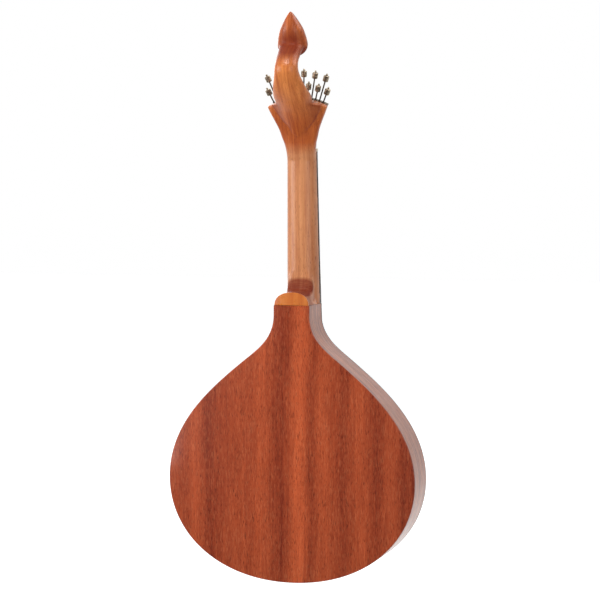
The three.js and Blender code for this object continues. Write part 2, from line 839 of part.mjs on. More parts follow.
// A nut that rides on the thread, with a post through the plate's slot and a lip that keeps the string.
function stringHook() {
  const half = hookLength / 2;
  const boreRadius = threadRadius + seatGap;
  const boreLength = hookLength + 2 * cutOverrun;
  const bore = new THREE.CylinderGeometry(boreRadius, boreRadius, boreLength, screwSegments);
  const postFoot = cutOverrun - hookFront;
  const lipBack = hookLipThickness - hookPostFront;
  const rider = hookBlock(hookWidth, hookFront, hookBack, -half, half);
  const post = hookBlock(hookPostWidth, hookPostFront, postFoot, -hookPostLength / 2, hookPostLength / 2);
  const lip = hookBlock(hookPostWidth, hookPostFront, lipBack, 0, hookLipLength);
  const whole = rider.add(post).add(lip).subtract(solid(bore.rotateX(Math.PI / 2)));
  return surface(whole).translate(0, 0, hookRest);
}

// A fan-shaped outline between two radii, drawn in from its straight sides by a wall.
function fanOutline(innerRadius, outerRadius, wall) {
  const arc = (radius) => Array.from({ length: plateArcSteps + 1 }, (_, step) => {
    const half = plateHalfAngle - wall / radius;
    const angle = half * (1 - 2 * step / plateArcSteps);
    return flatPoint(radius * Math.sin(angle), radius * Math.cos(angle));
  });
  return [...arc(outerRadius), ...arc(innerRadius).reverse()];
}

// A tray that opens towards the wood, with a slot for each hook and a hole in its rim for each screw.
function tunerPlate() {
  const back = headFaceDepth - seatGap;
  const tray = solid(sheet(fanOutline(plateInnerRadius, rimRadius, 0), -plateFront, back));
  const inside = fanOutline(plateInnerRadius + plateWall, rimRadius - rimThickness, plateWall);
  let plate = tray.subtract(solid(sheet(inside, plateThickness - plateFront, back + cutOverrun)));
  const slotReach = hookTravel + hookPostLength / 2 + seatGap;
  const holeRadius = shaftRadius + seatGap;
  const holeLength = rimThickness + 2 * cutOverrun;
  for (let place = 0; place < screwCount; place += 1) {
    const turn = new THREE.Matrix4().makeRotationY(screwAngle(place));
    const slot = block(
      new THREE.Vector3(-slotWidth / 2, -plateFront - cutOverrun, hookRest - slotReach),
      new THREE.Vector3(slotWidth / 2, -hookFront, hookRest + slotReach + hookLipLength),
    ).applyMatrix4(turn);
    const hole = new THREE.CylinderGeometry(holeRadius, holeRadius, holeLength, screwSegments);
    hole.rotateX(Math.PI / 2).translate(0, 0, rimRadius - rimThickness / 2).applyMatrix4(turn);
    plate = plate.subtract(solid(slot)).subtract(solid(hole));
  }
  return surface(plate);
}

function headPieces() {
  const group = new THREE.Group();
  group.applyMatrix4(headFrame);
  group.add(namedMesh('tuner_plate', tunerPlate(), plateMetal));
  for (let place = 0; place < screwCount; place += 1) {
    const tuner = new THREE.Group();
    tuner.rotation.y = screwAngle(place);
    const label = String(place + 1).padStart(2, '0');
    tuner.add(
      namedMesh(`tuning_screw_${label}`, tuningScrew(place), steel),
      namedMesh(`string_hook_${label}`, stringHook(), steel),
    );
    group.add(tuner);
  }
  return group;
}

function bridgeBase() {
  const half = [
    flatPoint(bridgeArchTopHalfLength, -bridgeArchHeight),
    flatPoint(bridgeArchHalfLength, -glueGap),
    flatPoint(bridgeHalfLength, -glueGap),
    flatPoint(bridgeHalfLength, -bridgeEndHeight),
    flatPoint(bridgeTopHalfLength, -bridgeHeight),
  ];
  const outline = [...half, ...mirrored([...half].reverse())];
  return bar(outline, -scaleLength - bridgeWidth / 2, -scaleLength + bridgeWidth / 2);
}

function bridgeSaddle() {
  const foot = -bridgeHeight - glueGap;
  const outline = [
    flatPoint(saddleHalfLength, foot),
    flatPoint(-saddleHalfLength, foot),
    flatPoint(-saddleHalfLength, -saddleTop),
    flatPoint(saddleHalfLength, -saddleTop),
  ];
  return bar(outline, -scaleLength - saddleWidth / 2, -scaleLength + saddleWidth / 2);
}

// An L-shaped strip of bone round the soundboard's tail edge, where the strings turn under.
function tailGuard() {
  const outerFront = -glueGap - guardThickness;
  const outerFoot = bodyBottom - glueGap - guardThickness;
  return rail([
    flatPoint(outerFront, outerFoot),
    flatPoint(guardUnderLength, outerFoot),
    flatPoint(guardUnderLength, bodyBottom - glueGap),
    flatPoint(-glueGap, bodyBottom - glueGap),
    flatPoint(-glueGap, bodyBottom + guardFrontLength),
    flatPoint(outerFront, bodyBottom + guardFrontLength),
  ], guardHalfLength);
}

function coursePlace(course, pitch) {
  return ((courseCount - 1) / 2 - course) * pitch;
}

// A curved plate under the tail edge with one pin for the two strings of each course.
function tailpiece() {
  const front = guardUnderLength + seatGap;
  const top = tailEdge(tailPlateHalfLength, -glueGap);
  const foot = tailEdge(tailPlateHalfLength, -glueGap - tailPlateThickness).reverse();
  let plate = solid(sheet([...top, ...foot], front, front + tailPlateDepth));
  for (let course = 0; course < courseCount; course += 1) {
    const across = coursePlace(course, tailCoursePitch);
    const plateFoot = tailHeightAt(across, -glueGap - tailPlateThickness);
    const length = tailPinLength + tailPlateThickness / 2;
    const pin = new THREE.CylinderGeometry(tailPinRadius, tailPinRadius, length, tailPinSegments);
    pin.rotateX(Math.PI / 2).translate(across, tailPinSetback, plateFoot + length / 2 - tailPinLength);
    plate = plate.add(solid(pin));
  }
  return surface(plate);
}

function stringAcross(place, pitch, gap) {
  const course = Math.floor(place / 2);
  return coursePlace(course, pitch) + (place % 2 === 0 ? gap / 2 : -gap / 2);
}

// The taut route of one string: tail pin, edge guard, saddle, nut and hook.
function stringRoute(place, radius) {
  const away = stringClearance + radius;
  const tailAcross = stringAcross(place, tailCoursePitch, tailPairGap);
  const tailFoot = bodyBottom - glueGap - guardThickness - away;
  const tailFront = -glueGap - guardThickness - away;
  const bridgeAcross = stringAcross(place, bridgeCoursePitch, bridgePairGap);
  const nutAcross = stringAcross(place, nutCoursePitch, nutPairGap);
  const nutTop = boardCamber * (nutAcross / nutHalfWidth) ** 2 - boardThickness - nutRise - away;
  const angle = screwAngle(place);
  const hookEnd = hookRest - hookPostLength / 2 - seatGap;
  const loop = new THREE.Vector3(hookEnd * Math.sin(angle), -hookStringHeight, hookEnd * Math.cos(angle));
  return [
    new THREE.Vector3(tailAcross, tailPinSetback - tailPinRadius - seatGap, tailFoot),
    new THREE.Vector3(tailAcross, tailFront, tailFoot),
    new THREE.Vector3(bridgeAcross, -saddleTop - away, -scaleLength),
    new THREE.Vector3(nutAcross, nutTop, 0).applyMatrix4(neckFrame),
    new THREE.Vector3(nutAcross, nutTop, nutThickness).applyMatrix4(neckFrame),
    loop.applyMatrix4(headFrame),
  ];
}

// A tube along straight stretches, with mitred corners.
function stringSolid(place) {
  const radius = stringDiameters[place] / 2;
  const route = stringRoute(place, radius);
  return loft(route.map((corner, step) => {
    const before = corner.clone().sub(route[Math.max(step - 1, 0)]).normalize();
    const after = route[Math.min(step + 1, route.length - 1)].clone().sub(corner).normalize();
    const along = before.clone().add(after).normalize();
    const mitre = Math.max(along.dot(before), along.dot(after));
    const lift = new THREE.Vector3(1, 0, 0).cross(along).normalize();
    const across = along.clone().cross(lift);
    return Array.from({ length: stringSides }, (_, turn) => {
      const angle = 2 * Math.PI * turn / stringSides;
      const ringPoint = corner.clone().addScaledVector(across, radius * Math.cos(angle));
      return ringPoint.addScaledVector(lift, radius * Math.sin(angle) / mitre);
    });
  }));
}

function stringPieces() {
  const group = new THREE.Group();
  group.add(
    namedMesh('bridge_base', bridgeBase(), ebony),
    namedMesh('bridge_saddle', bridgeSaddle(), bone),
    namedMesh('tail_guard', tailGuard(), bone),
    namedMesh('tailpiece', tailpiece(), plateMetal),
  );
  for (let place = 0; place < screwCount; place += 1) {
    group.add(namedMesh(`string_${String(place + 1).padStart(2, '0')}`, stringSolid(place), steel));
  }
  return group;
}

const guitar = new THREE.Group();
guitar.position.y = -originSetback;
guitar.add(
  bodyPieces(),
  namedMesh('neck', neck(), neckWood),
  namedMesh('heel_cap', heelCap(), capWood),
  neckPieces(),
  headPieces(),
  stringPieces(),
);

export default guitar;
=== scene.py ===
# A twelve-string Portuguese guitar with a teardrop finial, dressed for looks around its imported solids.
# Metres, +Z up along the neck, -Y out of the soundboard, +Y out of the back, +X towards the treble side.
import math
import bmesh
import bpy
from mathutils import Matrix, Vector


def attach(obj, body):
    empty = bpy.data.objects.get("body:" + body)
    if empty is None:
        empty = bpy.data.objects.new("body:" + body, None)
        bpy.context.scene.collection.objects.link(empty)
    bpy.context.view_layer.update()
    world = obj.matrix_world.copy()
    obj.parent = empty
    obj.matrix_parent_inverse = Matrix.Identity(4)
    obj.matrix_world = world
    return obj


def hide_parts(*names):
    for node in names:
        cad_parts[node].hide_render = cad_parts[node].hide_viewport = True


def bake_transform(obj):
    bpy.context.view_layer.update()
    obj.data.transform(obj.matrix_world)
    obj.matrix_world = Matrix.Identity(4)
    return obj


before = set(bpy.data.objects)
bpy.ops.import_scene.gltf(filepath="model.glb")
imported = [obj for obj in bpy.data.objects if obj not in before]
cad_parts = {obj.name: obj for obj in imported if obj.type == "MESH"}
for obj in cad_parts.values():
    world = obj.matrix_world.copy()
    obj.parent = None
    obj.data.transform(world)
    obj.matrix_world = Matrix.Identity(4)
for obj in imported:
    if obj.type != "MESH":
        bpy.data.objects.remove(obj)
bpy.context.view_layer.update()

# Sizes of the body, the same as the solids have.
SCALE_LENGTH = 0.47
NUT_TO_BODY = SCALE_LENGTH / 2
BODY_TOP_DROP = 0.0027
BODY_TOP = -(NUT_TO_BODY + BODY_TOP_DROP)
BODY_LENGTH = 0.4303
BODY_HALF_WIDTH = 0.1983
SHOULDER_HALF_WIDTH = 0.0288
DEPTH_AT_NECK = 0.0706
DEPTH_AT_TAIL = 0.0793
BACK_SLOPE = (DEPTH_AT_TAIL - DEPTH_AT_NECK) / BODY_LENGTH
FRONT_THICKNESS = 0.0028
BACK_THICKNESS = 0.0026
RIB_THICKNESS = 0.0024
BINDING_WIDTH = 0.002
GLUE_GAP = 0.00015
HOLE_RADIUS = 0.04
HOLE_FROM_BODY_TOP = 0.142
HOLE_HEIGHT = BODY_TOP - HOLE_FROM_BODY_TOP
OUTLINE_STEPS = 40
SHOULDER_END_SHARE = 0.0376
OUTLINE_CURVE_SHARES = (
    ((0.1473, 0.1196), (0.2726, 0.1586), (0.3893, 0.2021)),
    ((0.6793, 0.3102), (1.0, 0.44), (1.0, 0.6292)),
    ((1.0, 0.84), (0.5951, 1.0), (0.0, 1.0)),
)

# Sizes of the neck, heel and fingerboard.
NECK_TILT = math.radians(2.75)
NUT_SETBACK = NUT_TO_BODY * math.tan(NECK_TILT)
NECK_DEPTH_AT_NUT = 0.018
NECK_DEPTH_AT_HEEL = 0.022
ORIGIN_SETBACK = NUT_SETBACK + NECK_DEPTH_AT_NUT / 2
NUT_HALF_WIDTH = 0.0235
JOIN_HALF_WIDTH = 0.0262
NECK_ROUNDNESS = 2.3
BOARD_THICKNESS = 0.006
BOARD_OVERHANG = 0.01
BOARD_CAMBER = 0.0009
FRET_COUNT = 17
FRETS_IN_OCTAVE = 12
BOARD_LENGTH = SCALE_LENGTH * (1 - 2 ** (-FRET_COUNT / FRETS_IN_OCTAVE)) + BOARD_OVERHANG
FRET_WIDTH = 0.0018
FRET_HEIGHT = 0.001
NUT_THICKNESS = 0.0045
NUT_RISE = 0.0017
HEEL_HALF_WIDTH = 0.0275
HEEL_WAIST_HALF_WIDTH = 0.021
HEEL_CAP_HEIGHT = 0.0204
HEEL_CAP_THICKNESS = 0.003
HEEL_RISE = 0.034
HEEL_FRONT = 0.0225
HEEL_SWEEP = 12
HEEL_SQUARENESS = 1.8
HEEL_SWELL = 1.2
HEEL_FLARE_HEIGHT = 0.008

# Sizes of the head, stem and teardrop.
HEAD_TILT = math.radians(14)
FAN_APEX_DROP = 0.0115
FAN_APEX_SETBACK = 0.0099
HEAD_HALF_WIDTH = 0.049
HEAD_LENGTH = 0.087
HEAD_THICKNESS = 0.011
HEAD_FACE_DEPTH = 0.003
RIM_RADIUS = 0.0984
STEM_REACH = 0.11
STEM_HEIGHT = 0.148
STEM_HALF_WIDTH = 0.018
STEM_ROUNDNESS = 2.2
DROP_HALF_WIDTH = 0.0239
DROP_HALF_DEPTH = 0.02
DROP_HEIGHT = 0.071
DROP_TIP_HEIGHT = 0.214
DROP_TIP_SETBACK = 0.076
DROP_LEAN = math.radians(12.6)
# The head's height share, half width share, depth share and how square its section is.
HEAD_SHARES = (
    (0.0, 0.475, 1.45, 2.3), (0.115, 0.478, 1.45, 2.4), (0.276, 0.515, 1.3, 2.8), (0.414, 0.588, 1.12, 3.6),
    (0.563, 0.661, 1.02, 4.6), (0.713, 0.772, 1.0, 6.0), (0.862, 0.895, 1.0, 7.0), (1.0, 1.0, 1.0, 8.0),
    (1.16, 1.13, 1.0, 8.0),
)
# The stem's back and front edge, each as shares of its reach and height, and its half width share.
STEM_SHARES = (
    (0.28, 0.16, 0.255, 0.203, 0.3), (0.36, 0.262, 0.3, 0.338, 0.95), (0.505, 0.4, 0.36, 0.486, 1.42),
    (0.727, 0.541, 0.43, 0.584, 1.68), (0.873, 0.655, 0.6, 0.662, 1.46), (0.973, 0.764, 0.7, 0.757, 1.17),
    (1.0, 0.858, 0.773, 0.838, 1.03), (0.945, 0.946, 0.75, 0.912, 0.98), (0.872, 1.01, 0.66, 0.975, 1.0),
    (0.805, 1.057, 0.6, 1.03, 1.05), (0.735, 1.1, 0.55, 1.08, 1.02), (0.66, 1.15, 0.52, 1.12, 0.75),
)
# The teardrop's height share, half width share and how far its back stands out.
DROP_SHARES = (
    (0.0, 0.06, 0.06), (0.02, 0.37, 0.3), (0.07, 0.68, 0.48), (0.14, 0.88, 0.58), (0.22, 0.985, 0.63),
    (0.3, 1.0, 0.67), (0.46, 0.905, 0.73), (0.63, 0.74, 0.7), (0.8, 0.46, 0.46), (0.89, 0.29, 0.29),
    (0.96, 0.145, 0.145), (0.985, 0.08, 0.08), (1.0, 0.02, 0.02),
)
# The raised leaf on the head's back: height share, widths to the treble and bass side as shares of the
# head's half width, and rise as a share of its thickness.
LEAF_SHARES = (
    (0.451, 0.037, 0.061, 0.16), (0.466, 0.094, 0.102, 0.22), (0.49, 0.143, 0.141, 0.27),
    (0.529, 0.19, 0.21, 0.33), (0.564, 0.229, 0.273, 0.4), (0.641, 0.308, 0.408, 0.57),
    (0.707, 0.41, 0.51, 0.74), (0.764, 0.496, 0.59, 0.92), (0.851, 0.602, 0.682, 1.22),
    (0.943, 0.694, 0.771, 1.58), (1.029, 0.776, 0.841, 2.02), (1.15, 0.86, 0.92, 2.6),
)
LEAF_EDGE = 0.0017
LEAF_ROOT = 0.006
LEAF_STEPS = 48
NECK_VOXEL = 0.0009
# Where the carving is worked smooth by hand: depth behind the face and height, how far round them, and
# how many passes.
HOLLOWS = (((0.086, 0.164), 0.021, 90), ((0.06, 0.085), 0.03, 40), ((0.03, -0.196), 0.022, 40))

# Sizes of the tuner.
SCREW_COUNT = 12
COURSE_COUNT = SCREW_COUNT // 2
FIRST_SCREW_ANGLE = math.radians(5)
SCREW_ANGLE_STEP = math.radians(3.77)
LONG_KNOB_RADIUS = 0.1355
SHORT_KNOB_RADIUS = 0.1164
KNOB_LENGTH = 0.01
KNOB_HALF_WIDTH = 0.0045
KNOB_CREASES = 11
KNOB_CREASE_DEPTH = 0.00042
KNOB_AROUND = 88
KNOB_RINGS = 26
KNOB_EASE = 0.0013
KNOB_TIP_LENGTH = 0.003
KNOB_TIP_RADIUS = 0.0015
SHAFT_RADIUS = 0.00115
THREAD_RADIUS = 0.0008
THREAD_DEPTH = 0.0002
THREAD_PITCH = 0.0008
THREAD_FOOT = 0.0525
THREAD_END = 0.0954
COLLAR_FOOT = 0.0987
COLLAR_TOP = 0.0999
COLLAR_RADIUS = 0.0019
PLATE_FRONT = 0.0054
HOOK_REST = 0.066
HOOK_STRING_HEIGHT = 0.0072
HOOK_POST_FRONT = 0.0094

# Sizes of the bridge, the tail fittings and the strings.
BRIDGE_WIDTH = 0.008
BRIDGE_HEIGHT = 0.016
SADDLE_WIDTH = 0.003
SADDLE_TOP = 0.022
SADDLE_HALF_LENGTH = 0.035
GUARD_HALF_LENGTH = 0.025
GUARD_THICKNESS = 0.0018
GUARD_FRONT_LENGTH = 0.007
GUARD_UNDER_LENGTH = 0.0034
TAIL_PIN_SETBACK = 0.013
TAIL_PIN_RADIUS = 0.0012
NUT_COURSE_PITCH = 0.0076
NUT_PAIR_GAP = 0.0024
BRIDGE_COURSE_PITCH = 0.0116
BRIDGE_PAIR_GAP = 0.003
TAIL_COURSE_PITCH = 0.0064
TAIL_PAIR_GAP = 0.003
STRING_CLEARANCE = 0.0003
TAIL_STRING_LIFT = 0.0001
STRING_DIAMETERS = (
    0.00025, 0.00025, 0.00028, 0.00028, 0.00036, 0.00036,
    0.00056, 0.00028, 0.00076, 0.00036, 0.00096, 0.0005,
)
WOUND_STRINGS = (6, 8, 10, 11)

BODY_BOTTOM = BODY_TOP - BODY_LENGTH
UNDER_FRONT = FRONT_THICKNESS + GLUE_GAP
NECK_FRAME = Matrix.Translation((0, NUT_SETBACK, 0)) @ Matrix.Rotation(-NECK_TILT, 4, "X")
FAN_APEX = Matrix.Translation((0, FAN_APEX_SETBACK, -FAN_APEX_DROP))
HEAD_FRAME = FAN_APEX @ Matrix.Rotation(-HEAD_TILT, 4, "X")
INTO_ROW_FRAME = Matrix.Translation((0, -ORIGIN_SETBACK, 0))
SHARP_ANGLE = math.radians(38)
KNOB_SHARP_ANGLE = math.radians(50)
NECK_SHARP_ANGLE = math.radians(60)
WELD_DISTANCE = 1e-7


# Shader sums. A Shade is a value or colour that changes over a surface, and adds up as numbers do.
class Shade:
    def __init__(self, socket):
        self.socket = socket
        self.tree = socket.id_data

    def __add__(self, other):
        return maths("ADD", self, other)

    def __sub__(self, other):
        return maths("SUBTRACT", self, other)

    def __rsub__(self, other):
        return maths("SUBTRACT", other, self)

    def __mul__(self, other):
        return maths("MULTIPLY", self, other)

    def __truediv__(self, other):
        return maths("DIVIDE", self, other)

    def __abs__(self):
        return maths("ABSOLUTE", self)


def feed(socket, value):
    if isinstance(value, Shade):
        value.tree.links.new(value.socket, socket)
    else:
        socket.default_value = value


def node(tree, kind, inputs, output=0, **settings):
    """One output of a new shader node, with its inputs fed by name or number."""
    made = tree.nodes.new("ShaderNode" + kind)
    for setting, value in settings.items():
        setattr(made, setting, value)
    for socket, value in inputs.items():
        feed(made.inputs[socket], value)
    return Shade(made.outputs[output])


def maths(operation, first, second=0.0):
    tree = (first if isinstance(first, Shade) else second).tree
    return node(tree, "Math", {0: first, 1: second}, operation=operation)


def most(highest, *others):
    """The highest of several values."""
    for other in others:
        highest = maths("MAXIMUM", highest, other)
    return highest


def remap(value, low, high, to_low=0.0, to_high=1.0):
    return node(value.tree, "MapRange", dict(enumerate((value, low, high, to_low, to_high))))


def vector_maths(operation, first, second, output=0):
    return node(first.tree, "VectorMath", {0: first, 1: second}, output, operation=operation)


def stretch(vector, *factors):
    return vector_maths("MULTIPLY", vector, factors)


def speckle(vector, scale, detail=2.0, roughness=0.5):
    inputs = {"Vector": vector, "Scale": scale, "Detail": detail, "Roughness": roughness}
    return node(vector.tree, "TexNoise", inputs, "Fac")


def mixed(share, first, second):
    return node(share.tree, "Mix", {0: share, 6: first, 7: second}, 2, data_type="RGBA")


def split(vector):
    made = vector.tree.nodes.new("ShaderNodeSeparateXYZ")
    feed(made.inputs[0], vector)
    return [Shade(socket) for socket in made.outputs]


def join(across, behind, up):
    return node(across.tree, "CombineXYZ", {0: across, 1: behind, 2: up})


def stepped(value, stops, smooth="B_SPLINE"):
    """A colour ramp through stops, each a place and a colour."""
    made = value.tree.nodes.new("ShaderNodeValToRGB")
    made.color_ramp.interpolation = smooth
    elements = made.color_ramp.elements
    elements[0].position, elements[1].position = stops[0][0], stops[-1][0]
    for place, _ in stops[1:-1]:
        elements.new(place)
    for element, (_, shade) in zip(elements, stops):
        element.color = shade
    feed(made.inputs[0], value)
    return Shade(made.outputs[0])


def bumped(height, strength, distance):
    inputs = {"Strength": strength, "Distance": distance, "Height": height}
    return node(height.tree, "Bump", inputs, "Normal")


def colour(*levels):
    """A screen colour, from 0 to 255 each, as the linear colour that a shader takes."""
    def linear(share):
        return share / 12.92 if share <= 0.04045 else ((share + 0.055) / 1.055) ** 2.4
    return tuple(linear(level / 255) for level in levels) + (1.0,)


def grey(level):
    return (level, level, level, 1.0)


def effect(name, outputs, rule, **inputs):
    """A node group. The rule works out its outputs from its inputs, which come with their defaults."""
    tree = bpy.data.node_groups.new(name, "ShaderNodeTree")
    for label, default in inputs.items():
        kind = "NodeSocketFloat" if isinstance(default, float) else "NodeSocketVector"
        socket = tree.interface.new_socket(label.title(), in_out="INPUT", socket_type=kind)
        if default is not None:
            socket.default_value = default
    for label in outputs:
        tree.interface.new_socket(label, in_out="OUTPUT", socket_type="NodeSocketFloat")
    given = list(tree.nodes.new("NodeGroupInput").outputs)[:len(inputs)]
    found = rule(*[Shade(socket) for socket in given])
    for socket, value in zip(tree.nodes.new("NodeGroupOutput").inputs, found):
        feed(socket, value)
    return tree


def use(group, **values):
    """The outputs of a node group placed in the first value's tree, alone where there is one."""
    made = next(iter(values.values())).tree.nodes.new("ShaderNodeGroup")
    made.node_tree = group
    for label, value in values.items():
        feed(made.inputs[label.title()], value)
    found = [Shade(socket) for socket in made.outputs]
    return found if len(found) > 1 else found[0]


# Effects that several finishes share. Their Vector's Z runs along the grain.
def fibre_rule(vector, scale):
    fine = speckle(stretch(vector, 1.0, 1.0, 0.02), scale, 3.0, 0.6)
    wide = speckle(stretch(vector, 0.25, 0.25, 0.008), scale)
    return [remap(fine * 0.6 + wide * 0.4, 0.3, 0.7)]


def pore_rule(vector, scale, amount):
    flecks = speckle(stretch(vector, 1.0, 1.0, 0.09), scale, 1.0)
    patches = speckle(stretch(vector, 1.0, 1.0, 0.3), 45.0)
    start = 0.74 - amount * 0.2 + remap(patches, 0.3, 0.7, -0.03, 0.03)
    return [remap(flecks, start, start + 0.07)]


def ribbon_rule(vector, scale):
    bands = speckle(stretch(vector, 1.0, 1.0, 0.04), scale, 2.0, 0.6)
    flame = speckle(stretch(vector, 1.0, 1.0, 0.35), scale, 1.0)
    return [remap(bands * 0.75 + flame * 0.25, 0.32, 0.68)]


def growth_rule(vector, spacing):
    drift = speckle(stretch(vector, 1.0, 1.0, 0.03), 22.0)
    turns = maths("FRACT", (split(vector)[0] + drift * 0.012) / spacing)
    return [remap(turns, 0.35, 0.92) * remap(turns, 0.93, 1.0, 1.0, 0.0)]


def end_grain_rule(normal, start, full):
    """How squarely a surface cuts the grain, from a normal whose Z runs along it."""
    return [remap(abs(split(normal)[2]), start, full)]


def hollow_shade_rule(vector, centre, near, far):
    """How near a point lies to a hollow's centre, where painted shade darkens it."""
    return [remap(vector_maths("DISTANCE", vector, centre, "Value"), near, far, 1.0, 0.0)]


def smudge_rule(vector, low, high):
    return [remap(speckle(vector, 38.0, 4.0, 0.62), 0.3, 0.7, low, high)]


def tarnish_rule(vector, amount):
    patches = speckle(vector, 160.0, 5.0, 0.65)
    return [remap(patches, 0.42, 0.68) * amount, speckle(stretch(vector, 1.0, 0.06, 0.06), 5200.0)]


FIBRES = effect("wood_fibres", ["Fibres"], fibre_rule, vector=None, scale=900.0)
PORES = effect("open_pores", ["Pores"], pore_rule, vector=None, scale=1500.0, amount=0.5)
RIBBONS = effect("ribbon_figure", ["Ribbons"], ribbon_rule, vector=None, scale=30.0)
GROWTH = effect("growth_lines", ["Lines"], growth_rule, vector=None, spacing=0.0013)
END_GRAIN_SHADE = effect("end_grain_shade", ["Cut"], end_grain_rule, normal=None, start=0.2, full=0.75)
HOLLOW = effect(
    "painted_hollow_shade", ["Pool"], hollow_shade_rule, vector=None, centre=(0.0, 0.0, 0.0), near=0.01, far=0.02)
SMUDGES = effect("handling_marks", ["Roughness"], smudge_rule, vector=None, low=0.2, high=0.35)
TARNISH = effect("metal_tarnish", ["Tarnish", "Scratches"], tarnish_rule, vector=None, amount=0.5)


# Finishes.
WOOD_RELIEF = 0.00006
PORE_DEPTH_SHARE = 0.6
FIBRE_RELIEF_SHARE = 0.3
WINDING_PITCH = 0.0003
WINDING_RELIEF = 0.00005
SPRUCE_RELIEF = 0.00005
SCRATCH_RELIEF = 0.00002
STRIPE_DRIFT = 0.0035


def finish(name, grain="UP"):
    """A material, and where a point lies with Z along the grain: up, across or round the ribs."""
    material = bpy.data.materials.new(name)
    material.use_nodes = True
    spot = node(material.node_tree, "TexCoord", {}, "Object")
    if grain == "UP":
        return material, spot
    x, y, z = split(spot)
    return material, join(z, y, x) if grain == "ACROSS" else join(y, x * 0.02, z + x * 0.35)


def paint(material, looks):
    shader = material.node_tree.nodes["Principled BSDF"].inputs
    for label, value in looks.items():
        feed(shader[label], value)
    return material


def lacquered_wood(name, dark, light, grain="UP", pores=0.5, pore_colour=None, gloss=(0.2, 0.3), bands=30.0,
                   figure=None, fibre_scale=900.0, fibre_share=0.22, shine=0.5, coat=0.0, glints=None):
    """Wood under lacquer: banded figure, fibres, filled pores and, where asked for, pale glints."""
    material, spot = finish(name, grain)
    ribbons = figure(spot) if figure else use(RIBBONS, vector=spot, scale=bands)
    fibres = use(FIBRES, vector=spot, scale=fibre_scale)
    flecks = use(PORES, vector=spot, amount=pores)
    shade = mixed(ribbons * (1 - fibre_share) + fibres * fibre_share, colour(*dark), colour(*light))
    # Glints: pale flecks of painted sheen in the colour.
    if glints:
        across, behind, up = split(spot)
        bright = use(PORES, vector=join(across + 1.0, behind, up), scale=1100.0, amount=0.95)
        shade = mixed(bright * 0.14, shade, colour(*glints))
    red, green, blue, _ = colour(*dark)
    deep = colour(*pore_colour) if pore_colour else (red * 0.35, green * 0.35, blue * 0.35, 1.0)
    return paint(material, {
        "Base Color": mixed(flecks * PORE_DEPTH_SHARE, shade, deep),
        "Roughness": use(SMUDGES, vector=spot, low=gloss[0], high=gloss[1]),
        "Normal": bumped(fibres * FIBRE_RELIEF_SHARE - flecks, 0.25, WOOD_RELIEF),
        "Specular IOR Level": shine, "Coat Weight": coat, "Coat Roughness": 0.12,
    })


# The neck's tones, dark and light: the shaft, the head, whose deeper tone is partly painted shade,
# and the stem's bend, whose lighter tone is painted light.
NECK_TONES = (
    ((164, 88, 50), (218, 150, 100)), ((132, 46, 12), (206, 108, 44)), ((160, 68, 24), (236, 146, 74)),
)
# Where the head's leaf ends to the sides: its half width at the nut and how it spreads with height.
LEAF_MARGIN = 0.012
LEAF_SPREAD = 0.4
# Where the neck's tones, its painted light and its painted shade begin and are full: heights, unless the
# name says otherwise.
HEAD_TONE_START = (-0.006, 0.014)
CREST_START = (0.045, 0.09)
CREST_END = (0.122, 0.15)
CUT_START = (-0.19, -0.2)
CUT_SIDE_END = (0.02, 0.024)
LEAF_START = (-0.006, 0.002)
LEAF_END = (0.07, 0.08)
LEAF_SIDE_END = (-0.001, 0.001)
UNDER_DROP_START = (0.136, 0.142)
FOOT_START = (-0.21, -0.222)
FOOT_SIDE_START = (0.016, 0.02)
FOOT_DEPTH_START = (0.006, 0.026)
SCOOP_HEIGHTS = (-0.224, -0.194)
# How dark the painted shade in the heel's scoop is: its height as a share, and the shade.
SCOOP_BANDS = [(place, grey(shade)) for place, shade in (
    (0.0, 1.0), (0.32, 1.0), (0.5, 0.94), (0.68, 0.88), (0.82, 0.92), (0.9, 1.0), (1.0, 1.0))]
# The hollows of the heel and under the teardrop, darkened by painted shade: centre, and how near and how
# far they are dark.
HEEL_SCOOP = {"centre": (-0.001, 0.012, -0.209), "near": 0.0115, "far": 0.0162}
DROP_HOLLOW = {"centre": (0.0, 0.067, 0.16), "near": 0.014, "far": 0.031}


